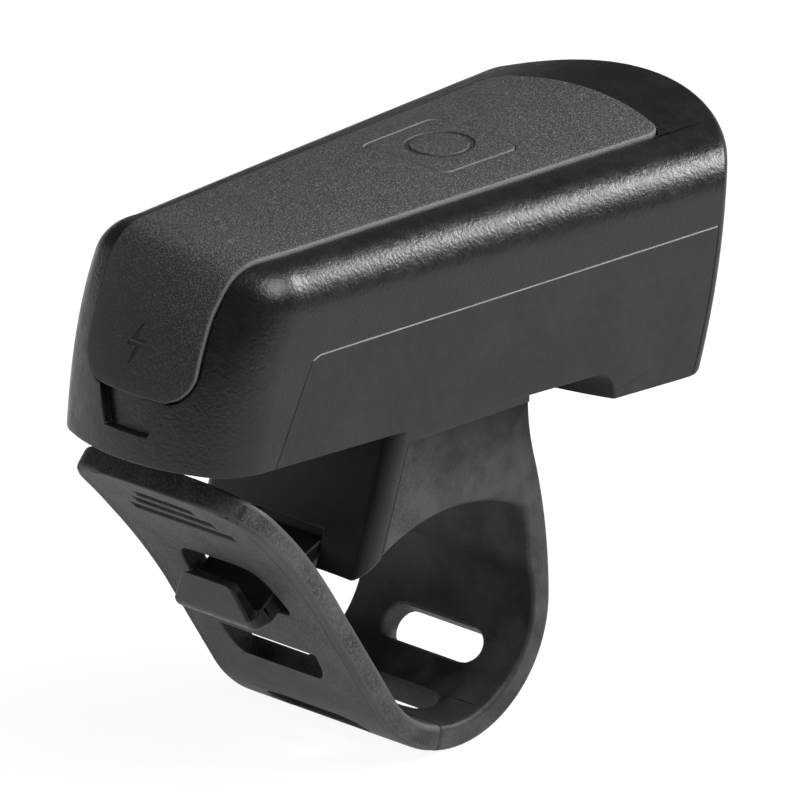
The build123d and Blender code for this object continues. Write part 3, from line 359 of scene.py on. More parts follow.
@dataclass(frozen=True)
class StrapFinish:
    """Dusty strap rubber with painted shade on the inner face round the bar's axis, where it is also smoother
    and glossier, and a fine dark line along both sides of the tail.

    Sizes and places are in millimetres.
    """

    name: str = "strap_rubber_worn"
    outer_colour: Colour = (0.011, 0.0115, 0.011)
    dust_colour: Colour = (0.037, 0.038, 0.036)
    speck_colour: Colour = (0.085, 0.086, 0.083)
    inner_shade_colour: Colour = (0.005, 0.005, 0.005)
    line_colour: Colour = (0.003, 0.003, 0.003)
    dust_size: float = 6.0
    dust_noise: Place = (0.38, 0.62)
    speck_size: float = 0.4
    speck_noise: Place = (0.48, 0.7)
    speck_share: float = 0.7
    band_speck_share: float = 0.15
    speck_front_y: float = -4.0
    speck_rear_y: float = -24.0
    bar_radius: float = 15.9
    inner_start: float = 0.1
    inner_end: float = 0.9
    inner_patch_size: float = 9.0
    inner_patch_noise: Place = (0.4, 0.65)
    least_inner_share: float = 0.55
    line_x: float = 17.35
    line_half: float = 0.4
    line_core_share: float = 0.4
    line_share: float = 0.95
    line_rear_y: float = -9.0
    line_fade: float = 1.0
    grain_size: float = 0.4
    grain_depth: float = 0.07
    inner_grain_share: float = 0.3
    dusty_roughness: float = 0.62
    inner_roughness: float = 0.4
    dusty_specular: float = 0.4
    inner_specular: float = 0.15
    sheen: float = 0.05

    def inner_face_share(self, paint: ShaderBuilder, y: Socket, z: Socket) -> Socket:
        """How much of the inner face's painted shade and smoother finish a place takes, which runs round the
        bar's axis.

        Args:
            paint: The material's builder.
            y: The place along the light.
            z: The height.

        Returns:
            A value from 0 to 1.
        """
        flat = paint.add("ShaderNodeCombineXYZ", {1: y, 2: z}).outputs[0]
        radius = paint.add("ShaderNodeVectorMath", {0: flat}, operation="LENGTH").outputs["Value"]
        start, end = (self.bar_radius + self.inner_start) * MM, (self.bar_radius + self.inner_end) * MM
        inner_face = paint.spread(radius, start, end, 1.0, 0.0)
        inner_patches = paint.noise(self.inner_patch_size, detail=3.0)
        inner_patches = paint.spread(inner_patches, *self.inner_patch_noise, self.least_inner_share, 1.0)
        return paint.sum_of(inner_face, inner_patches, "MULTIPLY")

    def line(self, paint: ShaderBuilder, x: Socket, y: Socket) -> Socket:
        """Where the fine dark line runs down both sides of the tail.

        Args:
            paint: The material's builder.
            x: The place across the light.
            y: The place along the light.

        Returns:
            A value from 0 to 1.
        """
        side = paint.sum_of(x, 0.0, "ABSOLUTE")
        away = paint.sum_of(paint.sum_of(side, self.line_x * MM, "SUBTRACT"), 0.0, "ABSOLUTE")
        core, half = self.line_half * MM * self.line_core_share, self.line_half * MM
        line = paint.spread(away, core, half, self.line_share, 0.0)
        start, end = self.line_rear_y * MM, (self.line_rear_y - self.line_fade) * MM
        return paint.sum_of(line, paint.spread(y, start, end, 0.0, 1.0), "MULTIPLY")

    def build(self) -> bpy.types.Material:
        """Makes the material from Object coordinates.

        Returns:
            The strap's material.
        """
        paint = ShaderBuilder(self.name)
        x, y, z = paint.add("ShaderNodeSeparateXYZ", {0: paint.place}).outputs
        dust = paint.spread(paint.noise(self.dust_size, detail=6.0), *self.dust_noise, 0.0, 1.0)
        ground = paint.blend(dust, self.outer_colour, self.dust_colour)
        speck = paint.noise(self.speck_size, detail=3.0)
        speck = paint.spread(speck, *self.speck_noise, 0.0, self.speck_share)
        rear_y, front_y = self.speck_rear_y * MM, self.speck_front_y * MM
        speck_fade = paint.spread(y, rear_y, front_y, 1.0, self.band_speck_share)
        ground = paint.blend(paint.sum_of(speck, speck_fade, "MULTIPLY"), ground, self.speck_colour)
        # Painted shade: the inner face round the bar's axis is darkened, and it is also smoother and
        # glossier.
        inner_face = self.inner_face_share(paint, y, z)
        ground = paint.blend(inner_face, ground, self.inner_shade_colour)
        ground = paint.blend(self.line(paint, x, y), ground, self.line_colour)
        rough = paint.spread(inner_face, 0.0, 1.0, self.dusty_roughness, self.inner_roughness)
        specular = paint.spread(inner_face, 0.0, 1.0, self.dusty_specular, self.inner_specular)
        paint.feed(Base_Color=ground, Roughness=rough, Specular_IOR_Level=specular)
        fine = paint.noise(self.grain_size, detail=3.0)
        grain_fade = paint.spread(inner_face, 0.0, 1.0, 1.0, self.inner_grain_share)
        paint.relief(paint.sum_of(fine, grain_fade, "MULTIPLY"), self.grain_depth)
        paint.set(Sheen_Weight=self.sheen)
        return paint.material


@dataclass(frozen=True)
class ClearFinish:
    """Clear moulded plastic with faint moulding haze."""

    name: str
    tint: Colour = (0.96, 0.97, 0.97)
    second_tint: Colour = (0.9, 0.92, 0.92)
    roughness: float = 0.03
    haze: float = 0.03
    haze_size: float = 6.0
    tint_size: float = 14.0
    refraction: float = 1.49

    def build(self) -> bpy.types.Material:
        """Makes the material.

        Returns:
            A clear material.
        """
        paint = ShaderBuilder(self.name)
        hazy = self.roughness + self.haze
        haze = paint.spread(paint.noise(self.haze_size, detail=3.0), *WIDE_NOISE, self.roughness, hazy)
        tint = paint.blend(paint.noise(self.tint_size), self.tint, self.second_tint)
        paint.feed(Base_Color=tint, Roughness=haze)
        paint.set(Transmission_Weight=1.0, IOR=self.refraction)
        return paint.material


FINISHES = {
    "bracket_plastic": Finish(
        "bracket_black",
        (0.006, 0.006, 0.0055),
        (0.009, 0.009, 0.008),
        0.4,
        grain_size=0.35,
        grain_depth=0.006,
    ),
    "steel": Finish(
        "screw_steel",
        (0.55, 0.55, 0.56),
        (0.45, 0.45, 0.47),
        0.3,
        metallic=1.0,
        pattern=Pattern.BRUSHED,
        grain_depth=0.003,
    ),
    "upper_plastic": Finish(
        "upper_satin_black",
        (0.0045, 0.0045, 0.0047),
        (0.007, 0.007, 0.0072),
        0.36,
        roughness_swing=0.05,
        grain_size=0.55,
        grain_depth=0.075,
    ),
    "lower_plastic": Finish(
        "lower_matt_black",
        (0.014, 0.014, 0.0133),
        (0.018, 0.018, 0.0172),
        0.6,
        grain_size=0.45,
        grain_depth=0.04,
        specular=0.4,
    ),
    "seal_rubber": Finish("seal_rubber_soft", (0.02, 0.02, 0.02), (0.03, 0.03, 0.03), 0.7),
    "pad_rubber": Finish(
        "button_rubber",
        (0.026, 0.03, 0.029),
        (0.023, 0.026, 0.025),
        0.6,
        grain_size=0.24,
        grain_depth=0.035,
        pattern=Pattern.SPARKLE,
        sparkle_colour=(0.16, 0.17, 0.165),
        specular=0.4,
    ),
    "flap_rubber": Finish("flap_rubber_dark", (0.026, 0.028, 0.029), (0.03, 0.032, 0.033), 0.6),
    "mirror_coat": Finish(
        "reflector_mirror",
        (0.9, 0.9, 0.9),
        (0.86, 0.87, 0.88),
        0.08,
        roughness_swing=0.03,
        grain_depth=0.001,
        metallic=1.0,
    ),
    "lamp_board": Finish("lamp_board_white", (0.75, 0.75, 0.73), (0.7, 0.7, 0.68), 0.45, grain_depth=0.002),
    "lamp_phosphor": Finish("lamp_yellow", (0.85, 0.62, 0.12), (0.9, 0.7, 0.2), 0.4, grain_size=0.1),
    "aluminium": Finish(
        "heat_sink_aluminium",
        (0.62, 0.63, 0.64),
        (0.55, 0.56, 0.57),
        0.38,
        metallic=1.0,
        pattern=Pattern.BRUSHED,
        grain_depth=0.004,
    ),
    "wire_jacket": Finish("lead_red", (0.35, 0.02, 0.015), (0.3, 0.015, 0.012), 0.45, grain_depth=0.003),
    "cell_wrap": Finish(
        "cell_wrap_blue", (0.03, 0.09, 0.22), (0.025, 0.075, 0.19), 0.35, grain_depth=0.004
    ),
    "nickel": Finish(
        "tab_nickel", (0.6, 0.58, 0.54), (0.5, 0.49, 0.46), 0.3, metallic=1.0, grain_depth=0.003
    ),
    "foam": Finish(
        "foam_grey", (0.06, 0.06, 0.06), (0.09, 0.09, 0.09), 0.9, grain_size=0.5, grain_depth=0.15
    ),
    "circuit_board": Finish(
        "board_green", (0.01, 0.09, 0.03), (0.012, 0.12, 0.04), 0.35, grain_depth=0.004
    ),
    "black_parts": Finish(
        "component_black", (0.015, 0.015, 0.015), (0.02, 0.02, 0.02), 0.5, grain_depth=0.004
    ),
    "brass_pins": Finish(
        "pin_brass", (0.75, 0.55, 0.2), (0.65, 0.47, 0.17), 0.3, metallic=1.0, grain_depth=0.002
    ),
}
# Lighter colours for the rounded faces of edges: painted highlights, the bracket's olive one among them.
EDGE_HIGHLIGHT_FINISHES = {
    "upper_plastic": Finish(
        "upper_edge_highlight", (0.012, 0.012, 0.012), (0.018, 0.018, 0.018), 0.42, grain_depth=0.004
    ),
    "lower_plastic": Finish("lower_edge_highlight", (0.2, 0.2, 0.19), (0.15, 0.15, 0.145), 0.5, grain_depth=0.004),
    "bracket_plastic": Finish(
        "bracket_edge", (0.034, 0.035, 0.027), (0.026, 0.027, 0.021), 0.4, grain_depth=0.004
    ),
    "strap_rubber": Finish(
        "strap_edge_highlight", (0.045, 0.046, 0.045), (0.035, 0.036, 0.035), 0.6, grain_depth=0.008
    ),
}


class Palette:
    """The materials of every slot, each built once."""

    def __init__(self) -> None:
        """Builds the materials that the record's slots name."""
        self.materials = {slot: finish.build() for slot, finish in FINISHES.items()}
        self.materials["clear_lens"] = ClearFinish("lens_clear").build()
        self.materials["strap_rubber"] = StrapFinish().build()
        self.edge_highlights = {slot: finish.build() for slot, finish in EDGE_HIGHLIGHT_FINISHES.items()}
        self.pad = PadFinish().build()

    def dress(self, mesh: bpy.types.Mesh, slot: str) -> None:
        """Gives a mesh its slot's material and, for its rounded edges, the slot's painted edge highlight.

        Args:
            mesh: The mesh to dress.
            slot: The record's material slot.
        """
        mesh.materials.clear()
        for material in (self.materials[slot], self.edge_highlights[slot]):
            mesh.materials.append(material)

    def dress_nodes(self) -> None:
        """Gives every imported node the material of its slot."""
        for part in frame["record"]["subparts"]:
            mesh = frame["nodes"][part["node"]].data
            mesh.materials.clear()
            mesh.materials.append(self.materials[part["material_slot"]])


class NodeGraph(TreeBuilder):
    """A geometry node tree with named sizes, which ends in plain faces with one material."""

    def __init__(self, name: str) -> None:
        """Starts the tree.

        Args:
            name: The tree's name.
        """
        super().__init__(bpy.data.node_groups.new(name, "GeometryNodeTree"))
        self.tree.interface.new_socket(name="Geometry", in_out="INPUT", socket_type="NodeSocketGeometry")
        self.tree.interface.new_socket(name="Geometry", in_out="OUTPUT", socket_type="NodeSocketGeometry")
        self.start = self.tree.nodes.new("NodeGroupInput")
        self.sizes: dict[str, float] = {}

    def size(self, name: str, value: float) -> Socket:
        """Adds a named size in metres.

        Args:
            name: The input's name.
            value: Its value.

        Returns:
            The socket that carries it.
        """
        self.tree.interface.new_socket(name=name, in_out="INPUT", socket_type="NodeSocketFloat")
        self.sizes[name] = value
        return self.start.outputs[name]

    def make(
        self, source: bpy.types.Mesh, name: str, geometry: Socket, paint: bpy.types.Material
    ) -> bpy.types.Object:
        """Ends the tree, runs it on a mesh and keeps the result as a plain object.

        Args:
            source: The mesh that the tree starts from.
            name: The new object's name.
            geometry: The socket with the finished geometry.
            paint: The material of its faces.

        Returns:
            An object with a plain mesh.
        """
        real = self.add("GeometryNodeRealizeInstances", {0: geometry})
        dressed = self.add("GeometryNodeSetMaterial", {"Geometry": real.outputs[0], "Material": paint})
        end = self.tree.nodes.new("NodeGroupOutput")
        self.tree.links.new(dressed.outputs[0], end.inputs[0])
        piece = new_object(name, source)
        modifier = piece.modifiers.new(name, "NODES")
        modifier.node_group = self.tree
        for item in self.tree.interface.items_tree:
            if item.in_out == "INPUT" and item.name in self.sizes:
                modifier[item.identifier] = self.sizes[item.name]
        return flatten(piece)


def new_object(name: str, mesh: bpy.types.Mesh) -> bpy.types.Object:
    """Links a new object with a mesh to the scene.

    Args:
        name: The object's name.
        mesh: Its mesh.

    Returns:
        The object.
    """
    piece = bpy.data.objects.new(name, mesh)
    bpy.context.scene.collection.objects.link(piece)
    return piece


def flatten(piece: bpy.types.Object) -> bpy.types.Object:
    """Turns a piece's modifiers into a plain mesh.

    Args:
        piece: The piece with its modifiers.

    Returns:
        The same piece without them.
    """
    bpy.context.view_layer.update()
    graph = bpy.context.evaluated_depsgraph_get()
    mesh = bpy.data.meshes.new_from_object(piece.evaluated_get(graph))
    piece.modifiers.clear()
    piece.data = mesh
    mesh.name = piece.name
    return piece


def mesh_from(name: str, points: Iterable[Sequence[float]], faces: Iterable[Sequence[int]]) -> bpy.types.Mesh:
    """Makes a mesh from places in millimetres.

    Args:
        name: The mesh's name.
        points: Its vertices.
        faces: Its faces, as rows of vertex numbers.

    Returns:
        The mesh in metres.
    """
    mesh = bpy.data.meshes.new(name)
    mesh.from_pydata([[value * MM for value in point] for point in points], [], list(faces))
    mesh.update()
    return mesh


def shade(piece: bpy.types.Object, sharp_angle: float = 38.0) -> None:
    """Shades a piece smooth, keeps its sharp edges and evens its normals by face size.

    Args:
        piece: The piece to shade.
        sharp_angle: The angle in degrees above which an edge stays sharp.
    """
    mesh = piece.data
    mesh.polygons.foreach_set("use_smooth", [True] * len(mesh.polygons))
    mesh.set_sharp_from_angle(angle=math.radians(sharp_angle))
    modifier = piece.modifiers.new("even_normals", "WEIGHTED_NORMAL")
    modifier.keep_sharp = True
    flatten(piece)


@contextmanager
def opened(mesh: bpy.types.Mesh) -> Iterator[bmesh.types.BMesh]:
    """Opens a mesh for changes and writes them back.

    Args:
        mesh: The mesh to change.

    Returns:
        The open mesh, for a with block.
    """
    work = bmesh.new()
    work.from_mesh(mesh)
    yield work
    work.to_mesh(mesh)
    work.free()


def merged_copy(node: str, name: str) -> bpy.types.Object:
    """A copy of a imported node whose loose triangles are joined.

    Args:
        node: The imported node's name.
        name: The copy's name.

    Returns:
        The copy.
    """
    mesh = frame["nodes"][node].data.copy()
    with opened(mesh) as work:
        bmesh.ops.remove_doubles(work, verts=work.verts, dist=MERGE_REACH * MM)
    return new_object(name, mesh)


def bevel_edges(
    piece: bpy.types.Object,
    width_at: Callable[[Vector, Vector, float], float],
    widest: float,
    segments: int = 3,
) -> None:
    """Rounds a piece's edges.

    Args:
        piece: The piece to round.
        width_at: Gives an edge's width from its middle in millimetres, its direction and its angle in
            degrees.
        widest: The largest width that it gives.
        segments: How many faces a rounding has.
    """
    mesh = piece.data
    with opened(mesh) as work:
        weights = work.edges.layers.float.new("bevel_weight_edge")
        for edge in work.edges:
            if len(edge.link_faces) == 2:
                middle = (edge.verts[0].co + edge.verts[1].co) / (2 * MM)
                heading = (edge.verts[0].co - edge.verts[1].co).normalized()
                edge[weights] = width_at(middle, heading, math.degrees(edge.calc_face_angle())) / widest
    modifier = piece.modifiers.new("rounding", "BEVEL")
    modifier.limit_method = "WEIGHT"
    modifier.width = widest * MM
    modifier.segments = segments
    modifier.use_clamp_overlap = False
    # The rounded faces take the second material, the painted edge highlight, where the piece has one.
    modifier.material = min(1, len(mesh.materials) - 1)
    flatten(piece)


@dataclass
class PadSurface:
    """The crowned surface that the pad, the button and the flap share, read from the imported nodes.

    A place on it is (x, s): x across the light and s along its middle line, from the front to the rear.
    """

    nodes: tuple[str, ...] = ("top_pad", "power_button", "charging_flap")
    front_y: float = 50.0
    turn_y: float = -34.0
    turn_z: float = 50.0
    low_z: float = 45.5
    turn_radius: float = 14.0
    ray_start: float = 60.0
    ray_half: float = 17.4
    step: float = 0.7
    normal_reach: float = 0.4

    def __post_init__(self) -> None:
        """Samples the surface by rays and fits each row with an even curve."""
        graph = bpy.context.evaluated_depsgraph_get()
        trees = [BVHTree.FromObject(frame["nodes"][node], graph) for node in self.nodes]
        self.top_run = self.front_y - self.turn_y
        self.turn_run = self.turn_radius * math.pi / 2
        total = self.top_run + self.turn_run + self.turn_z - self.low_z
        self.rows = np.arange(0, total, self.step)
        across = np.arange(-self.ray_half, self.ray_half + self.step, self.step)
        fits = []
        for row in self.rows:
            origin, direction = self.ray(row)
            places, depths = [], []
            for x in across:
                start = Vector((x, *origin)) * MM
                heading = Vector((0, *direction))
                hits = [tree.ray_cast(start, heading) for tree in trees]
                reached = [hit[3] for hit in hits if hit[0] is not None]
                if reached:
                    places.append(x / self.ray_half)
                    depths.append(min(reached) / MM)
            fits.append(self.fit(np.array(places), np.array(depths)))
        self.curves = self.smooth(np.array(fits))
        self.middle = self.from_rows(np.zeros(len(self.rows)), self.rows)
        runs = np.linalg.norm(np.diff(self.middle, axis=0), axis=1)
        self.lengths = np.concatenate([[0.0], np.cumsum(runs)])

    def ray(self, row: float) -> tuple[Place, Place]:
        """The start and heading of a row's rays, which turn with the flap's bend.

        Args:
            row: The row's place along the rays' path.

        Returns:
            The start and the heading, each as y and z.
        """
        if row <= self.top_run:
            return (self.front_y - row, self.turn_z + self.ray_start), (0.0, -1.0)
        if row >= self.top_run + self.turn_run:
            below = row - self.top_run - self.turn_run
            return (self.turn_y - self.ray_start, self.turn_z - below), (1.0, 0.0)
        angle = (row - self.top_run) / self.turn_radius
        out = (-math.sin(angle), math.cos(angle))
        start = (self.turn_y + self.ray_start * out[0], self.turn_z + self.ray_start * out[1])
        return start, (-out[0], -out[1])

    @staticmethod
    def fit(places: np.ndarray, depths: np.ndarray) -> np.ndarray:
        """Fits an even curve to one row's hits, without the hits that fell into a gap.

        Args:
            places: Where the rays stood, from -1 to 1.
            depths: How far each went.

        Returns:
            The factors of the curve's terms, or not-a-numbers where too few rays hit.
        """
        keep = np.ones(len(places), bool)
        terms = np.stack([places**power for power in EVEN_POWERS], axis=1)
        curve = np.full(len(EVEN_POWERS), np.nan)
        for limit in FIT_LIMITS:
            if keep.sum() < FEWEST_HITS:
                return np.full(len(EVEN_POWERS), np.nan)
            curve = np.linalg.lstsq(terms[keep], depths[keep], rcond=None)[0]
            miss = depths - terms @ curve
            keep = np.abs(miss - np.median(miss[keep])) < limit
        return curve

    @staticmethod
    def smooth(fits: np.ndarray) -> np.ndarray:
        """Fills the rows without a fit and evens all rows along the surface.

        Args:
            fits: Each row's factors.

        Returns:
            The even factors.
        """
        rows = np.arange(len(fits))
        for column in range(fits.shape[1]):
            good = ~np.isnan(fits[:, column])
            fits[:, column] = np.interp(rows, rows[good], fits[good, column])
        margin = len(SMOOTHING_SHARES) // 2
        padded = np.pad(fits, ((margin, margin), (0, 0)), mode="edge")
        return sum(share * padded[i : i + len(fits)] for i, share in enumerate(SMOOTHING_SHARES))

    def from_rows(self, x: np.ndarray, row: np.ndarray) -> np.ndarray:
        """Places on the surface from x and the place along the rays' path.

        Args:
            x: Places across the light.
            row: Places along the rays' path.

        Returns:
            Rows of x, y and z in millimetres.
        """
        share = x / self.ray_half
        factors = [np.interp(row, self.rows, curve) for curve in self.curves.T]
        depth = sum(factor * share**power for power, factor in zip(EVEN_POWERS, factors))
        rays = [self.ray(value) for value in row]
        start = np.array([ray[0] for ray in rays])
        heading = np.array([ray[1] for ray in rays])
        return np.column_stack([x, start + heading * depth[:, None]])

    def at(self, x: np.ndarray, s: np.ndarray) -> np.ndarray:
        """Places on the surface from x and the length along its middle line.

        Args:
            x: Places across the light.
            s: Lengths along the middle line.

        Returns:
            Rows of x, y and z in millimetres.
        """
        return self.from_rows(x, np.interp(s, self.lengths, self.rows))

    def normal(self, x: np.ndarray, s: np.ndarray) -> np.ndarray:
        """The surface's outward directions.

        Args:
            x: Places across the light.
            s: Lengths along the middle line.

        Returns:
            Rows of unit vectors.
        """
        reach = self.normal_reach
        across = self.at(x + reach, s) - self.at(x - reach, s)
        along = self.at(x, s + reach) - self.at(x, s - reach)
        normal = np.cross(along, across)
        return normal / np.linalg.norm(normal, axis=1)[:, None]

    def s_of_y(self, y: float) -> float:
        """The length along the middle line at a place y of the light."""
        return float(np.interp(-y, -self.middle[:, 1], self.lengths))

    def s_of_z(self, z: float) -> float:
        """The length along the middle line at a height z of the flap."""
        rear = self.middle[:, 1] < self.turn_y
        return float(np.interp(-z, -self.middle[rear, 2], self.lengths[rear]))


def rounded_loop(corners: Sequence[tuple[float, float, float]], step: float = 0.35) -> np.ndarray:
    """A closed loop through corners, each rounded by its own radius.

    Args:
        corners: Rows of x, s and radius.
        step: The distance between points.

    Returns:
        The loop's points.
    """
    points: list[np.ndarray] = []
    count = len(corners)
    for i, (x, s, radius) in enumerate(corners):
        here = np.array([x, s])
        before = np.array(corners[i - 1][:2]) - here
        after = np.array(corners[(i + 1) % count][:2]) - here
        before /= np.linalg.norm(before)
        after /= np.linalg.norm(after)
        opening = math.acos(float(np.clip(before @ after, -1, 1)))
        if radius <= 0 or opening > math.pi - FLAT_TURN:
            points.append(here)
            continue
        run = radius / math.tan(opening / 2)
        middle = (before + after) / np.linalg.norm(before + after) * radius / math.sin(opening / 2)
        first = before * run - middle
        last = after * run - middle
        turn = math.pi - opening
        sense = math.copysign(1.0, first[0] * last[1] - first[1] * last[0])
        parts = max(2, int(radius * turn / step))
        for k in range(parts + 1):
            angle = sense * turn * k / parts
            cos, sin = math.cos(angle), math.sin(angle)
            spoke = np.array([cos * first[0] - sin * first[1], sin * first[0] + cos * first[1]])
            points.append(here + middle + spoke)
    dense: list[np.ndarray] = []
    for i, start in enumerate(points):
        end = points[(i + 1) % len(points)]
        parts = max(1, int(round(float(np.linalg.norm(end - start)) / step)))
        dense.extend(start + (end - start) * k / parts for k in range(parts))
    return np.array(dense)


def inset(loop: np.ndarray, distance: float) -> np.ndarray:
    """A loop moved inwards, or outwards by a negative distance.

    Args:
        loop: The loop's points.
        distance: How far it moves.

    Returns:
        The moved loop, point for point.
    """
    after = np.roll(loop, -1, axis=0) - np.roll(loop, 1, axis=0)
    after /= np.linalg.norm(after, axis=1)[:, None]
    area = float(np.sum(loop[:, 0] * np.roll(loop[:, 1], -1) - loop[:, 1] * np.roll(loop[:, 0], -1)))
    inward = np.column_stack([-after[:, 1], after[:, 0]]) * math.copysign(1.0, area)
    return loop + inward * distance


def distance_to(loop: np.ndarray, points: np.ndarray) -> np.ndarray:
    """How far each point lies from a closed loop.

    Args:
        loop: The loop's points.
        points: The places to measure from.

    Returns:
        One distance for each place.
    """
    run = np.roll(loop, -1, axis=0) - loop
    length = np.maximum((run**2).sum(axis=1), TINY)
    offset = points[:, None, :] - loop[None, :, :]
    share = np.clip((offset * run[None]).sum(axis=2) / length[None], 0, 1)
    near = offset - share[:, :, None] * run[None]
    return np.sqrt((near**2).sum(axis=2)).min(axis=1)


def inside(loop: np.ndarray, points: np.ndarray) -> np.ndarray:
    """Which points lie inside a closed loop.

    Args:
        loop: The loop's points.
        points: The places to test.

    Returns:
        True for each place inside.
    """
    x, s = points[:, 0][:, None], points[:, 1][:, None]
    ax, ay = loop[:, 0][None], loop[:, 1][None]
    after = np.roll(loop, -1, axis=0)
    bx, by = after[:, 0][None], after[:, 1][None]
    crosses = (ay > s) != (by > s)
    slope = np.where(by == ay, TINY, by - ay)
    return (crosses & (x < (bx - ax) * (s - ay) / slope + ax)).sum(axis=1) % 2 == 1


@dataclass
class RubberSkin:
    """A closed rubber piece over the pad's surface, with rounded rims and engraved lines."""

    surface: PadSurface
    outline: np.ndarray
    holes: Sequence[np.ndarray]
    rim_radius: float
    hole_radius: float
    thickness: Callable[[np.ndarray, np.ndarray], np.ndarray]
    grooves: Sequence[tuple[np.ndarray, float, float]] = ()
    grid_step: float = 0.9
    grid_gap_share: float = 0.45
    rim_shares: tuple[float, ...] = (0.0, 0.12, 0.35, 0.65, 1.0)
    # How far the painted highlight reaches past each rounding, as shares of its radius.
    rim_highlight_scale: float = 1.1
    hole_highlight_scale: float = 1.2

    def offsets(self, radius: float) -> list[float]:
        """Distances from an edge at which its rounding has points."""
        return [radius * share for share in self.rim_shares]

    def within(self, points: np.ndarray) -> np.ndarray:
        """Which places lie inside the outline and in none of the holes.

        Args:
            points: Rows of x and s.

        Returns:
            True for each place on the piece.
        """
        keep = inside(self.outline, points)
        for hole in self.holes:
            keep &= ~inside(hole, points)
        return keep

    def loops(self) -> list[np.ndarray]:
        """The outline, the holes and the engraved lines, each with the loops that shape its edge.

        Returns:
            Closed loops of x and s.
        """
        loops = [inset(self.outline, distance) for distance in self.offsets(self.rim_radius)]
        for hole in self.holes:
            loops += [inset(hole, -distance) for distance in self.offsets(self.hole_radius)]
        for loop, _, slope in self.grooves:
            loops += [loop, inset(loop, slope)]
        return loops

    def drop(self, points: np.ndarray) -> np.ndarray:
        """How far the rubber lies below the crowned surface.

        Args:
            points: Rows of x and s.

        Returns:
            One depth in millimetres for each place.
        """
        total = np.zeros(len(points))
        edges = [(self.outline, self.rim_radius), *[(hole, self.hole_radius) for hole in self.holes]]
        for loop, radius in edges:
            near = np.clip(distance_to(loop, points), 0, radius)
            total = np.maximum(total, radius - np.sqrt(np.maximum(radius**2 - (radius - near) ** 2, 0)))
        for loop, depth, slope in self.grooves:
            far = distance_to(loop, points)
            within = inside(loop, points)
            total = total + np.where(within, depth * np.clip(far / slope, 0, 1), 0.0)
        return total

    def engraved(self, points: np.ndarray) -> np.ndarray:
        """How deep each place lies in an engraved line.

        Args:
            points: Rows of x and s.

        Returns:
            A value from 0 to 1 for each place.
        """
        total = np.zeros(len(points))
        for loop, depth, slope in self.grooves:
            sunk = np.sign(depth) * np.clip(distance_to(loop, points) / slope, 0, 1)
            total += np.where(inside(loop, points), sunk, 0.0)
        return np.clip(total, 0, 1)

    def build(self, name: str) -> bpy.types.Object:
        """Makes the piece.

        Args:
            name: The piece's name.

        Returns:
            A closed mesh with rim and engraved attributes.
        """
        loops = self.loops()
        low, high = self.outline.min(axis=0), self.outline.max(axis=0)
        columns, rows = (np.arange(low[i], high[i], self.grid_step) for i in range(2))
        grid = np.stack(np.meshgrid(columns, rows), axis=-1).reshape(-1, 2)
        grid = grid[self.within(grid)]
        for loop in loops:
            grid = grid[distance_to(loop, grid) > self.grid_step * self.grid_gap_share]
        points = np.concatenate([*loops, grid])
        edges, start = [], 0
        for loop in loops:
            edges += [(start + i, start + (i + 1) % len(loop)) for i in range(len(loop))]
            start += len(loop)
        flat, _, faces, *_ = delaunay_2d_cdt([Vector(point) for point in points], edges, [], 0, FLAT_REACH)
        places = np.array([[point.x, point.y] for point in flat])
        triangles = np.array([list(face) for face in faces])
        middles = places[triangles].mean(axis=1)
        return self.raise_up(name, places, triangles[self.within(middles)])

    def mark(self, mesh: bpy.types.Mesh, places: np.ndarray) -> None:
        """Writes the rim and engraved attributes that the pad's material reads, for its painted highlight
        along the rims and its painted shade in the engraved lines.

        Args:
            mesh: The piece's mesh, with its top before its underside.
            places: Rows of x and s of the top.
        """
        rim_reach = self.rim_radius * self.rim_highlight_scale
        hole_reach = self.hole_radius * self.hole_highlight_scale
        rim_far = np.minimum(distance_to(self.outline, places) / rim_reach, 1.0)
        for hole in self.holes:
            rim_far = np.minimum(rim_far, distance_to(hole, places) / hole_reach)
        for name, top in (("rim", 1 - rim_far), ("engraved", self.engraved(places))):
            values = np.concatenate([top, np.zeros(len(places))]).astype(np.float32)
            mesh.attributes.new(name, "FLOAT", "POINT").data.foreach_set("value", values)

    def raise_up(self, name: str, places: np.ndarray, triangles: np.ndarray) -> bpy.types.Object:
        """Lifts flat triangles on to the surface and closes them underneath.

        Args:
            name: The piece's name.
            places: Rows of x and s.
            triangles: Rows of three place numbers.

        Returns:
            The closed piece.
        """
        x, s = places[:, 0], places[:, 1]
        base, normal = self.surface.at(x, s), self.surface.normal(x, s)
        drop = self.drop(places)
        top = base - normal * drop[:, None]
        bottom = base - normal * self.thickness(x, s)[:, None]
        count = len(places)
        sample = triangles[0]
        turn = np.cross(top[sample[1]] - top[sample[0]], top[sample[2]] - top[sample[0]]) @ normal[sample[0]]
        upper = triangles if turn > 0 else triangles[:, ::-1]
        lower = upper[:, ::-1] + count
        directed = {(int(a), int(b)) for face in upper for a, b in zip(face, np.roll(face, -1))}
        walls = [(b, a, a + count, b + count) for a, b in directed if (b, a) not in directed]
        faces = [list(map(int, face)) for face in [*upper, *lower]] + [list(wall) for wall in walls]
        mesh = mesh_from(name, np.concatenate([top, bottom]), faces)
        self.mark(mesh, places)
        piece = new_object(name, mesh)
        with opened(mesh) as work:
            loose = [vert for vert in work.verts if not vert.link_faces]
            bmesh.ops.delete(work, geom=loose, context="VERTS")
        return piece


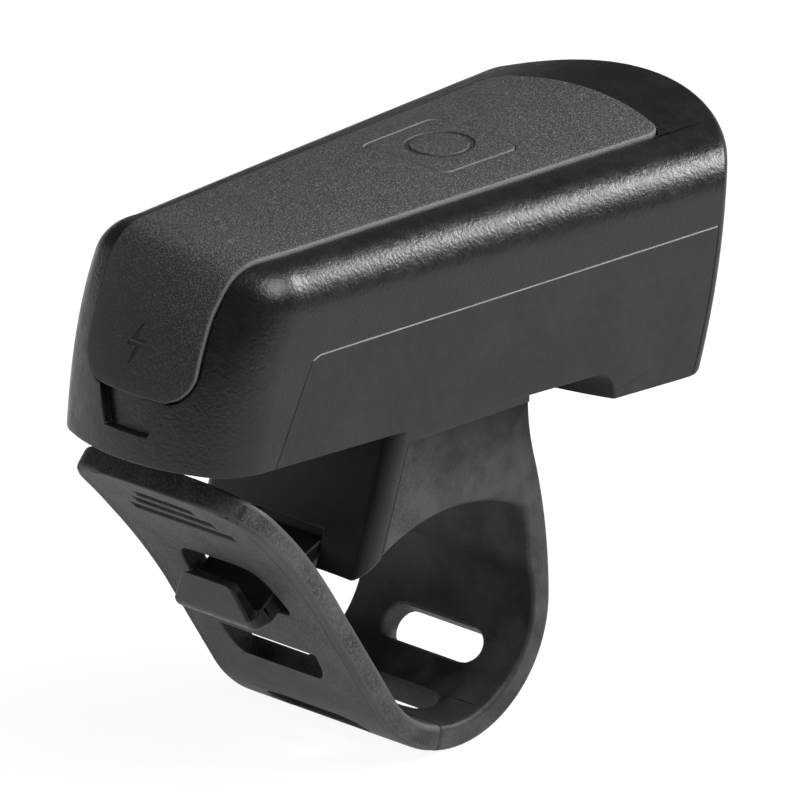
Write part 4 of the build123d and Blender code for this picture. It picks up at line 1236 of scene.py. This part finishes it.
@dataclass
class PadSet:
    """The rubber pad with its flap and the button in it. Sizes are in millimetres."""

    palette: Palette
    front_y: float = 47.3
    shoulder_y: float = 44.7
    front_half: float = 18.1
    front_corner: float = 3.4
    front_bow_share: float = 0.85
    front_bow_points: int = 15
    bend_y: float = -31.9
    bend_half: float = 13.7
    bend_radius: float = 30.0
    hinge_y: float = -47.6
    hinge_radius: float = 12.0
    hinge_reach: float = 1.2
    flap_half: float = 11.8
    flap_low_z: float = 46.9
    flap_corner: float = 5.5
    rim_radius: float = 0.5
    sharp_angle: float = 50.0
    button_rear_y: float = 6.4
    button_front_y: float = 22.2
    button_rear_half: float = 8.9
    button_front_half: float = 9.4
    button_corner: float = 1.7
    button_bow: float = 0.7
    button_bow_share: float = 0.6
    button_bow_points: int = 7
    button_gap: float = 0.22
    button_rim: float = 0.28
    button_hole_rim: float = 0.3
    button_grid_step: float = 0.5
    ring_y: float = 14.4
    ring_outer: float = 5.6
    ring_inner: float = 4.7
    ring_depth: float = 0.2
    ring_slope: float = 0.16
    ring_points: int = 72
    bolt_shape: tuple[Place, ...] = (
        (1.1, -4.3),
        (-2.0, 0.6),
        (-0.2, 0.6),
        (-1.1, 4.3),
        (2.0, -0.8),
        (0.2, -0.8),
    )
    bolt_corner: float = 0.12
    bolt_step: float = 0.15
    bolt_depth: float = 0.22
    bolt_slope: float = 0.12
    pad_thickness: float = 1.45
    flap_thickness: float = 1.05
    thinning_start: float = 1.5
    thinning_run: float = 3.0
    plug_half: float = 5.0
    plug_half_height: float = 2.1
    plug_corner: float = 1.5
    plug_z: float = 52.8
    plug_depth: float = 1.5
    plug_set_in: float = 0.8
    plug_chamfer: float = 0.25

    def __post_init__(self) -> None:
        """Reads the surface that all three pieces share."""
        self.surface = PadSurface()
        self.hinge_s = self.surface.s_of_y(self.hinge_y)

    def outline(self) -> np.ndarray:
        """The pad's outline with the flap's.

        Returns:
            One loop of x and s.
        """
        shoulder_s = self.surface.s_of_y(self.shoulder_y)
        bow = shoulder_s - self.surface.s_of_y(self.front_y)
        bend_s = self.surface.s_of_y(self.bend_y)
        low_s = self.surface.s_of_z(self.flap_low_z)
        half = self.front_half
        shares = np.linspace(self.front_bow_share, -self.front_bow_share, self.front_bow_points)
        front = [(half * share, shoulder_s - bow * (1 - share**2), 0.0) for share in shares]
        right = [
            (self.flap_half, low_s, self.flap_corner),
            (self.flap_half, self.hinge_s, self.hinge_radius),
            (self.bend_half, bend_s, self.bend_radius),
            (half, shoulder_s, self.front_corner),
        ]
        left = [(-x, s, radius) for x, s, radius in reversed(right)]
        return rounded_loop([*right, *front, *left])

    def button_outline(self, grow: float) -> np.ndarray:
        """The button's outline.

        Args:
            grow: How far it is moved outwards.

        Returns:
            One loop of x and s.
        """
        rear_s = self.surface.s_of_y(self.button_rear_y) + grow
        front_s = self.surface.s_of_y(self.button_front_y) - grow
        rear, front = self.button_rear_half + grow, self.button_front_half + grow
        radius = self.button_corner + grow
        shares = np.linspace(self.button_bow_share, -self.button_bow_share, self.button_bow_points)
        middle = [(front * share, front_s - self.button_bow * (1 - share**2), 0.0) for share in shares]
        corners = [(rear, rear_s, radius), (front, front_s, radius), *middle, (-front, front_s, radius)]
        return rounded_loop([*corners, (-rear, rear_s, radius)])

    def circle(self, radius: float) -> np.ndarray:
        """A circle round the middle of the button's ring.

        Args:
            radius: Its radius.

        Returns:
            One loop of x and s.
        """
        middle_s = self.surface.s_of_y(self.ring_y)
        turns = np.linspace(0, 2 * math.pi, self.ring_points, endpoint=False)
        return np.column_stack([radius * np.cos(turns), middle_s + radius * np.sin(turns)])

    def bolt(self) -> np.ndarray:
        """A plain lightning bolt on the flap.

        Returns:
            One loop of x and s.
        """
        middle_s = (self.hinge_s + self.surface.s_of_z(self.flap_low_z)) / 2
        corners = [(x, middle_s + s, self.bolt_corner) for x, s in self.bolt_shape]
        return rounded_loop(corners, step=self.bolt_step)

    def thickness_at(self, x: np.ndarray, s: np.ndarray) -> np.ndarray:
        """The rubber's thickness, which is less on the flap.

        Args:
            x: Places across the light; not used.
            s: Lengths along the middle line.

        Returns:
            One thickness for each place.
        """
        share = np.clip((s - self.hinge_s + self.thinning_start) / self.thinning_run, 0, 1)
        return self.pad_thickness + (self.flap_thickness - self.pad_thickness) * share

    def button_thickness_at(self, x: np.ndarray, s: np.ndarray) -> np.ndarray:
        """The button's even thickness at each place."""
        return np.full(len(x), self.pad_thickness)

    def build_pad(self) -> bpy.types.Object:
        """Makes the pad and the flap as one skin.

        Returns:
            The skin.
        """
        skin = RubberSkin(
            self.surface,
            self.outline(),
            [self.button_outline(self.button_gap)],
            self.rim_radius,
            self.button_hole_rim,
            self.thickness_at,
            grooves=[(self.bolt(), self.bolt_depth, self.bolt_slope)],
        )
        piece = skin.build("pad_and_flap")
        piece.data.materials.append(self.palette.pad)
        shade(piece, self.sharp_angle)
        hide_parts("top_pad", "charging_flap")
        bend = np.array([self.hinge_s - self.hinge_reach, self.hinge_s + self.hinge_reach])
        near = self.surface.at(np.zeros(2), bend) * MM
        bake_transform(piece)
        return piece

    def build_button(self) -> bpy.types.Object:
        """Makes the button with its engraved ring.

        Returns:
            The button.
        """
        outer = (self.circle(self.ring_outer), self.ring_depth, self.ring_slope)
        inner = (self.circle(self.ring_inner), -self.ring_depth, self.ring_slope)
        skin = RubberSkin(
            self.surface,
            self.button_outline(0.0),
            [],
            self.button_rim,
            self.button_rim,
            self.button_thickness_at,
            grooves=[outer, inner],
            grid_step=self.button_grid_step,
        )
        piece = skin.build("ringed_button")
        piece.data.materials.append(self.palette.pad)
        shade(piece, self.sharp_angle)
        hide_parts("power_button")
        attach(piece, "button")
        return piece

    def build_plug(self) -> bpy.types.Object:
        """Makes the plug behind the flap that stops the charging port.

        Returns:
            The plug.
        """
        front_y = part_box("charging_flap")[1][1] / MM
        plug_s = self.surface.s_of_z(self.plug_z)
        rear_y = self.surface.at(np.zeros(1), np.array([plug_s]))[0, 1] + self.plug_set_in
        half, high, corner = self.plug_half, self.plug_half_height, self.plug_corner
        signs = ((1, 1), (-1, 1), (-1, -1), (1, -1))
        loop = rounded_loop([(half * across, high * up, corner) for across, up in signs])
        end_y = rear_y + self.plug_depth
        levels = ((rear_y, 0.0), (end_y - self.plug_chamfer, 0.0), (end_y, self.plug_chamfer))
        points = []
        for y, pull in levels:
            points += [(x, min(y, front_y), self.plug_z + z) for x, z in inset(loop, pull)]
        count = len(loop)
        faces = [list(range(count)), list(range(3 * count - 1, 2 * count - 1, -1))]
        for level in range(len(levels) - 1):
            for i in range(count):
                here, after = level * count + i, level * count + (i + 1) % count
                faces.append([here, here + count, after + count, after])
        piece = new_object("flap_plug", mesh_from("flap_plug", points, faces))
        with opened(piece.data) as work:
            bmesh.ops.recalc_face_normals(work, faces=work.faces)
        piece.data.materials.append(self.palette.materials["flap_rubber"])
        shade(piece)
        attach(piece, "flap")
        return piece


@dataclass
class Housing:
    """The two hard shells, their joint line and their screws. Sizes are in millimetres."""

    palette: Palette
    joint_highlight_low_z: float = 52.8
    joint_highlight_rear_y: float = -33.4
    joint_highlight_front_y: float = 46.0
    edge_rounding: float = 0.2
    sharp_angle: float = 32.0
    screw_places: tuple[Place, ...] = ((13.5, -27.0), (-13.5, -27.0), (16.5, 12.0), (-16.5, 12.0))
    screw_head_radius: float = 2.1
    screw_head_height: float = 1.7
    screw_head_sides: int = 40
    screw_radius: float = 1.1
    screw_sides: int = 24
    screw_low_z: float = 36.7
    screw_length: float = 20.6
    recess_width: float = 0.55
    recess_length: float = 2.3

    def shell_rounding(self, middle: Vector, heading: Vector, angle: float) -> float:
        """The rounding of a shell's sharp edges."""
        return self.edge_rounding if angle > self.sharp_angle else 0.0

    def keep_joint_highlight(self, mesh: bpy.types.Mesh) -> None:
        """Keeps the painted edge highlight only on the rounded faces above a height and between two places
        along the light, where the joint line runs straight, and gives every other face the shell's plain
        material.

        Args:
            mesh: The shell's mesh.
        """
        for face in mesh.polygons:
            place = face.center / MM
            along_line = self.joint_highlight_rear_y < place.y < self.joint_highlight_front_y
            # Outside the straight of the joint line, the rounded faces lose the painted highlight.
            if place.z < self.joint_highlight_low_z or not along_line:
                face.material_index = 0

    def build_shell(self, node: str, name: str, slot: str) -> bpy.types.Object:
        """Makes one shell with rounded edges.

        Args:
            node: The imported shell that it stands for.
            name: The piece's name.
            slot: The record's material slot.

        Returns:
            The shell.
        """
        piece = merged_copy(node, name)
        self.palette.dress(piece.data, slot)
        bevel_edges(piece, self.shell_rounding, self.edge_rounding)
        self.keep_joint_highlight(piece.data)
        shade(piece)
        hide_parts(node)
        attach(piece, "light")
        return piece

    def build_head(self, graph: NodeGraph, head_height: Socket) -> bpy.types.Node:
        """Adds a screw's head with a crossed recess.

        Args:
            graph: The screws' node tree.
            head_height: The head's height.

        Returns:
            The node with the cut head.
        """
        head_radius = graph.size("Head Radius", self.screw_head_radius * MM)
        slot_width = graph.size("Recess Width", self.recess_width * MM)
        slot_length = graph.size("Recess Length", self.recess_length * MM)
        sizes = {"Vertices": self.screw_head_sides, "Radius": head_radius, "Depth": head_height}
        head = graph.add("GeometryNodeMeshCylinder", sizes)
        half = graph.add("ShaderNodeMath", {0: head_height, 1: 0.5}, operation="MULTIPLY").outputs[0]
        lift = graph.add("ShaderNodeCombineXYZ", {2: half}).outputs[0]
        head = graph.add("GeometryNodeTransform", {"Geometry": head.outputs[0], "Translation": lift})
        bars = graph.add("GeometryNodeJoinGeometry", {})
        for size in ((slot_length, slot_width), (slot_width, slot_length)):
            corner = graph.add("ShaderNodeCombineXYZ", {0: size[0], 1: size[1], 2: head_height}).outputs[0]
            bar = graph.add("GeometryNodeMeshCube", {"Size": corner})
            graph.tree.links.new(bar.outputs[0], bars.inputs[0])
        cut = graph.add("GeometryNodeMeshBoolean", {"Mesh 1": head.outputs[0]}, operation="DIFFERENCE")
        graph.tree.links.new(bars.outputs[0], cut.inputs["Mesh 2"])
        return cut

    def build_shank(self, graph: NodeGraph, head_height: Socket) -> bpy.types.Node:
        """Adds a screw's shank above its head.

        Args:
            graph: The screws' node tree.
            head_height: The head's height.

        Returns:
            The node with the raised shank.
        """
        radius = graph.size("Shank Radius", self.screw_radius * MM)
        length = graph.size("Shank Length", self.screw_length * MM)
        sizes = {"Vertices": self.screw_sides, "Radius": radius, "Depth": length}
        shank = graph.add("GeometryNodeMeshCylinder", sizes)
        reach = graph.add("ShaderNodeMath", {0: length, 1: 0.5}, operation="MULTIPLY").outputs[0]
        top = graph.add("ShaderNodeMath", {0: reach, 1: head_height}, operation="ADD").outputs[0]
        raised = graph.add("ShaderNodeCombineXYZ", {2: top}).outputs[0]
        return graph.add("GeometryNodeTransform", {"Geometry": shank.outputs[0], "Translation": raised})

    def build_screws(self) -> bpy.types.Object:
        """Makes the four screws, repeated over their places.

        Returns:
            One piece with all four.
        """
        graph = NodeGraph("screw_maker")
        head_height = graph.size("Head Height", self.screw_head_height * MM)
        whole = graph.add("GeometryNodeJoinGeometry", {})
        for part in (self.build_head(graph, head_height), self.build_shank(graph, head_height)):
            graph.tree.links.new(part.outputs[0], whole.inputs[0])
        spots = graph.add("GeometryNodeMeshToPoints", {0: graph.start.outputs[0]}).outputs[0]
        placed = graph.add("GeometryNodeInstanceOnPoints", {"Points": spots, "Instance": whole.outputs[0]})
        source = mesh_from("screw_places", [(x, y, self.screw_low_z) for x, y in self.screw_places], [])
        steel = self.palette.materials["steel"]
        piece = graph.make(source, "housing_screws_dressed", placed.outputs[0], steel)
        shade(piece)
        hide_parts("housing_screws")
        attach(piece, "light")
        return piece


@dataclass
class Clamp:
    """The bracket and the rubber strap. Sizes are in millimetres and angles in degrees.

    The strap runs round the handlebar's axis, which is the frame's x axis.
    """

    palette: Palette
    strap_half: float = 18.5
    strap_thickness: float = 4.1
    bar_radius: float = 15.9
    ring_inner_margin: float = 1.0
    ring_outer_margin: float = 6.0
    joint_angle: float = -104.5
    joint_turn: float = 1.081
    joint_margin: float = 1.3
    end_reach: float = 0.3
    sinking: float = 0.01
    bend_tilt: float = 20.0
    bend_start: float = 1.2
    bend_end: float = 5.6
    edge_angle: float = 30.0
    strap_sharp_angle: float = 34.0
    side_margin: float = 0.05
    side_rounding: float = 0.9
    tip_half: float = 12.0
    tip_low_z: float = 21.0
    slot_rounding: float = 0.4
    groove_rounding: float = 0.2
    groove_low_z: float = 20.0
    saddle_low_z: float = 14.0
    bracket_rounding: float = 0.3
    paddle_rounding: float = 2.0
    paddle_front_y: float = -33.4
    paddle_low_z: float = 12.0
    paddle_edge_angle: float = 20.0
    least_through: float = 0.99

    @property
    def middle_radius(self) -> float:
        """The radius at the middle of the strap's thickness."""
        return self.bar_radius + self.strap_thickness / 2

    def angle_of(self, place: Vector) -> float:
        """The angle of a place round the handlebar, in degrees."""
        return math.degrees(math.atan2(place.z, place.y))

    def on_ring(self, radius: float) -> bool:
        """True for a radius within the part of the strap that lies round the bar."""
        return self.bar_radius - self.ring_inner_margin < radius < self.bar_radius + self.ring_outer_margin

    def near_joint(self, middle: Vector) -> bool:
        """True on the plane where the two parts of the strap meet."""
        close = abs(self.angle_of(middle) - self.joint_angle) < self.joint_turn * self.joint_margin
        return close and self.on_ring(math.hypot(middle.y, middle.z))

    def tail_rounding(self, middle: Vector, heading: Vector, angle: float) -> float:
        """The rounding of an edge of the tail.

        Args:
            middle: The edge's middle in millimetres.
            heading: Its direction; not used.
            angle: Its angle.

        Returns:
            The width of its rounding.
        """
        if angle < self.edge_angle or self.near_joint(middle):
            return 0.0
        on_side = abs(middle.x) > self.strap_half - self.side_margin
        if on_side or (abs(middle.x) > self.tip_half and middle.z > self.tip_low_z):
            return self.side_rounding
        return self.groove_rounding if middle.z > self.groove_low_z else self.slot_rounding

    def band_rounding(self, middle: Vector, heading: Vector, angle: float) -> float:
        """The rounding of an edge of the band, and none on the saddle.

        Args:
            middle: The edge's middle in millimetres.
            heading: Its direction; not used.
            angle: Its angle.

        Returns:
            The width of its rounding.
        """
        plain = angle < self.edge_angle or middle.z > self.saddle_low_z
        return 0.0 if plain or self.near_joint(middle) else self.slot_rounding

    def bracket_edge(self, middle: Vector, heading: Vector, angle: float) -> float:
        """The rounding of an edge of the bracket, wide at the corners of the hook's paddle.

        Args:
            middle: The edge's middle in millimetres.
            heading: Its direction.
            angle: Its angle.

        Returns:
            The width of its rounding.
        """
        on_paddle = middle.y < self.paddle_front_y and middle.z > self.paddle_low_z
        through = abs(heading.y) > self.least_through
        if on_paddle and through and angle > self.paddle_edge_angle:
            return self.paddle_rounding
        return self.bracket_rounding if angle > self.edge_angle else 0.0

    def join_tail(self, mesh: bpy.types.Mesh) -> None:
        """Turns the tail's end into the band's and sinks it there, so that the strap looks whole.

        Args:
            mesh: The tail's mesh.
        """
        turn = Matrix.Rotation(math.radians(self.joint_turn * 2), 4, "X")
        narrowed = 1 - self.sinking / self.strap_half
        for vertex in mesh.vertices:
            radius = math.hypot(vertex.co.y, vertex.co.z) / MM
            away = self.angle_of(vertex.co) - (self.joint_angle - self.joint_turn)
            if abs(away) < self.end_reach and self.on_ring(radius):
                sunk = (radius - math.copysign(self.sinking, radius - self.middle_radius)) / radius
                vertex.co = turn @ Vector((vertex.co.x * narrowed, *(vertex.co.yz * sunk)))

    def build_strap(self) -> bpy.types.Object:
        """Makes the whole strap as one moulding.

        Returns:
            The strap.
        """
        band = merged_copy("handlebar_strap", "strap_band")
        tail = merged_copy("strap_tail", "strap_tail_part")
        self.join_tail(tail.data)
        for part in (band, tail):
            self.palette.dress(part.data, "strap_rubber")
        bevel_edges(band, self.band_rounding, self.slot_rounding)
        bevel_edges(tail, self.tail_rounding, self.side_rounding)
        mesh = bpy.data.meshes.new("rubber_strap")
        self.palette.dress(mesh, "strap_rubber")
        work = bmesh.new()
        for part in (band, tail):
            work.from_mesh(part.data)
            bpy.data.objects.remove(part)
        work.to_mesh(mesh)
        work.free()
        low_z = min(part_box(node)[0][2] for node in ("handlebar_strap", "strap_tail"))
        for vertex in mesh.vertices:
            vertex.co.z = max(vertex.co.z, low_z)
        piece = new_object("rubber_strap", mesh)
        shade(piece, self.strap_sharp_angle)
        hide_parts("handlebar_strap", "strap_tail")
        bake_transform(piece)
        return piece

    def build_bracket(self) -> bpy.types.Object:
        """Makes the bracket with its rounded edges.

        Returns:
            The bracket.
        """
        piece = merged_copy("bracket_frame", "hooked_bracket")
        self.palette.dress(piece.data, "bracket_plastic")
        bevel_edges(piece, self.bracket_edge, self.paddle_rounding)
        shade(piece)
        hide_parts("bracket_frame")
        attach(piece, "clamp")
        return piece


@dataclass(frozen=True)
class Lamp:
    """One soft lamp. Its place and sizes are in metres, and its power is in watts."""

    name: str
    place: tuple[float, float, float]
    size: Place
    power: float
    mirrored: bool = True

    def build(self, aim: Vector) -> None:
        """Stands the lamp in the scene.

        Args:
            aim: What it points at.
        """
        data = bpy.data.lights.new(self.name, "AREA")
        data.shape = "RECTANGLE"
        data.size, data.size_y = self.size
        data.energy = self.power
        lamp = bpy.data.objects.new(self.name, data)
        bpy.context.scene.collection.objects.link(lamp)
        lamp.location = self.place
        lamp.rotation_euler = (aim - Vector(self.place)).to_track_quat("-Z", "Y").to_euler()
        lamp.visible_glossy = self.mirrored


@dataclass
class Studio:
    """The floor, the lamps and the camera. Sizes are in metres and angles in degrees."""

    floor_half: float = 4.0
    floor_gap: float = 0.0002
    floor_colour: Colour = (0.6, 0.6, 0.6)
    second_floor_colour: Colour = (0.62, 0.62, 0.62)
    floor_patch_size: float = 40.0
    seen_floor_colour: Colour = (0.93, 0.93, 0.93)
    seen_shadow_colour: Colour = (0.12, 0.12, 0.12)
    soft_colour: Colour = (0.06, 0.06, 0.06)
    seen_colour: Colour = (1.0, 1.0, 1.0)
    camera_turn: float = 45.08
    camera_height: float = 20.35
    camera_roll: float = -0.153
    view_width: float = 0.12242
    aim_z: float = 0.035
    aim_right: float = 0.00409
    aim_up: float = -0.00281
    camera_distance: float = 3.745
    farthest: float = 50.0
    sensor: float = 36.0
    lamp_aim_z: float = 0.05
    lamps: tuple[Lamp, ...] = (
        Lamp("overhead", (0.27, -0.05, 0.62), (0.35, 0.4), 3.8),
        Lamp("front_top", (0.28, 0.55, 0.5), (0.3, 0.35), 7.5),
        Lamp("right_side", (0.8, -0.2, 0.18), (0.35, 0.35), 3.2, mirrored=False),
        Lamp("left_rear", (-0.65, -0.45, 0.3), (0.3, 0.4), 0.5),
    )

    def build_floor(self) -> None:
        """Lays a pale floor under the object, which the camera sees as white with a shadow."""
        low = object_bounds()[0][2] - self.floor_gap
        half = self.floor_half
        mesh = bpy.data.meshes.new("floor")
        corners = [(-half, -half, low), (half, -half, low), (half, half, low), (-half, half, low)]
        mesh.from_pydata(corners, [], [(0, 1, 2, 3)])
        floor = new_object("floor", mesh)
        paint = ShaderBuilder("floor_white")
        patches = paint.noise(self.floor_patch_size)
        paint.feed(Base_Color=paint.blend(patches, self.floor_colour, self.second_floor_colour))
        paint.set(Roughness=1.0, Specular_IOR_Level=0.0)
        path = paint.add("ShaderNodeLightPath", {})
        seen = paint.sum_of(path.outputs["Is Camera Ray"], path.outputs["Is Glossy Ray"])
        seen = paint.sum_of(seen, path.outputs["Is Transmission Ray"])
        glow = paint.add("ShaderNodeEmission", {"Color": (*self.seen_floor_colour, 1.0), "Strength": 1.0})
        plain = paint.add("ShaderNodeBsdfDiffuse", {"Color": (*self.seen_shadow_colour, 1.0)})
        both = paint.add("ShaderNodeAddShader", {0: glow.outputs[0], 1: plain.outputs[0]})
        mixed = paint.add("ShaderNodeMixShader", {0: seen, 1: paint.shader.outputs[0], 2: both.outputs[0]})
        paint.links.new(mixed.outputs[0], paint.nodes["Material Output"].inputs["Surface"])
        mesh.materials.append(paint.material)
        floor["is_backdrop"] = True

    def build_world(self) -> None:
        """Sets a soft surround, which the camera and clear pieces see as white."""
        world = bpy.data.worlds.new("studio_surround")
        bpy.context.scene.world = world
        world.use_nodes = True
        surround = TreeBuilder(world.node_tree)
        surround.tree.nodes.clear()
        rays = surround.add("ShaderNodeLightPath", {}).outputs
        both = {0: rays["Is Camera Ray"], 1: rays["Is Transmission Ray"]}
        seen = surround.add("ShaderNodeMath", both, operation="MAXIMUM").outputs[0]
        soft, white = (
            surround.add("ShaderNodeBackground", {"Color": (*colour, 1.0)}).outputs[0]
            for colour in (self.soft_colour, self.seen_colour)
        )
        mixed = surround.add("ShaderNodeMixShader", {0: seen, 1: soft, 2: white}).outputs[0]
        surround.add("ShaderNodeOutputWorld", {"Surface": mixed})

    def build_camera(self) -> None:
        """Sets the camera at the photograph's view, far off with a long lens."""
        angles = (self.camera_turn, self.camera_height, self.camera_roll)
        turn, height, roll = (math.radians(angle) for angle in angles)
        right = Vector((math.cos(turn), math.sin(turn), 0.0))
        ahead = Vector((-math.sin(turn), math.cos(turn), 0.0))
        forward = ahead * math.cos(height) - Vector((0, 0, math.sin(height)))
        above = ahead * math.sin(height) + Vector((0, 0, math.cos(height)))
        rolled_right = right * math.cos(roll) + above * math.sin(roll)
        rolled_above = above * math.cos(roll) - right * math.sin(roll)
        aim = Vector((0, 0, self.aim_z)) + rolled_right * self.aim_right + rolled_above * self.aim_up
        data = bpy.data.cameras.new("photo_camera")
        data.sensor_width = self.sensor
        data.lens = self.sensor * self.camera_distance / self.view_width
        data.clip_end = self.farthest
        camera = bpy.data.objects.new("photo_camera", data)
        bpy.context.scene.collection.objects.link(camera)
        axes = Matrix((rolled_right, rolled_above, -forward)).transposed().to_4x4()
        camera.matrix_world = Matrix.Translation(aim - forward * self.camera_distance) @ axes
        bpy.context.scene.camera = camera

    def build(self) -> None:
        """Builds the whole studio."""
        self.build_floor()
        self.build_world()
        for lamp in self.lamps:
            lamp.build(Vector((0, 0, self.lamp_aim_z)))
        self.build_camera()
        bpy.context.scene.view_settings.view_transform = "Standard"


def report(piece: bpy.types.Object) -> None:
    """Logs a finished piece with its number of faces."""
    LOG.info("%s: %d faces", piece.name, len(piece.data.polygons))


def main() -> None:
    """Builds every piece in order and reports it."""
    logging.basicConfig(level=logging.INFO, format="%(name)s %(message)s")
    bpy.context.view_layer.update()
    palette = Palette()
    palette.dress_nodes()
    housing, pads, clamp = Housing(palette), PadSet(palette), Clamp(palette)
    report(housing.build_shell("upper_housing", "upper_shell", "upper_plastic"))
    report(housing.build_shell("lower_housing", "lower_shell", "lower_plastic"))
    report(housing.build_screws())
    report(pads.build_pad())
    report(pads.build_button())
    report(pads.build_plug())
    report(clamp.build_strap())
    report(clamp.build_bracket())
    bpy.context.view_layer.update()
    Studio().build()


if __name__ == "__main__":
    main()
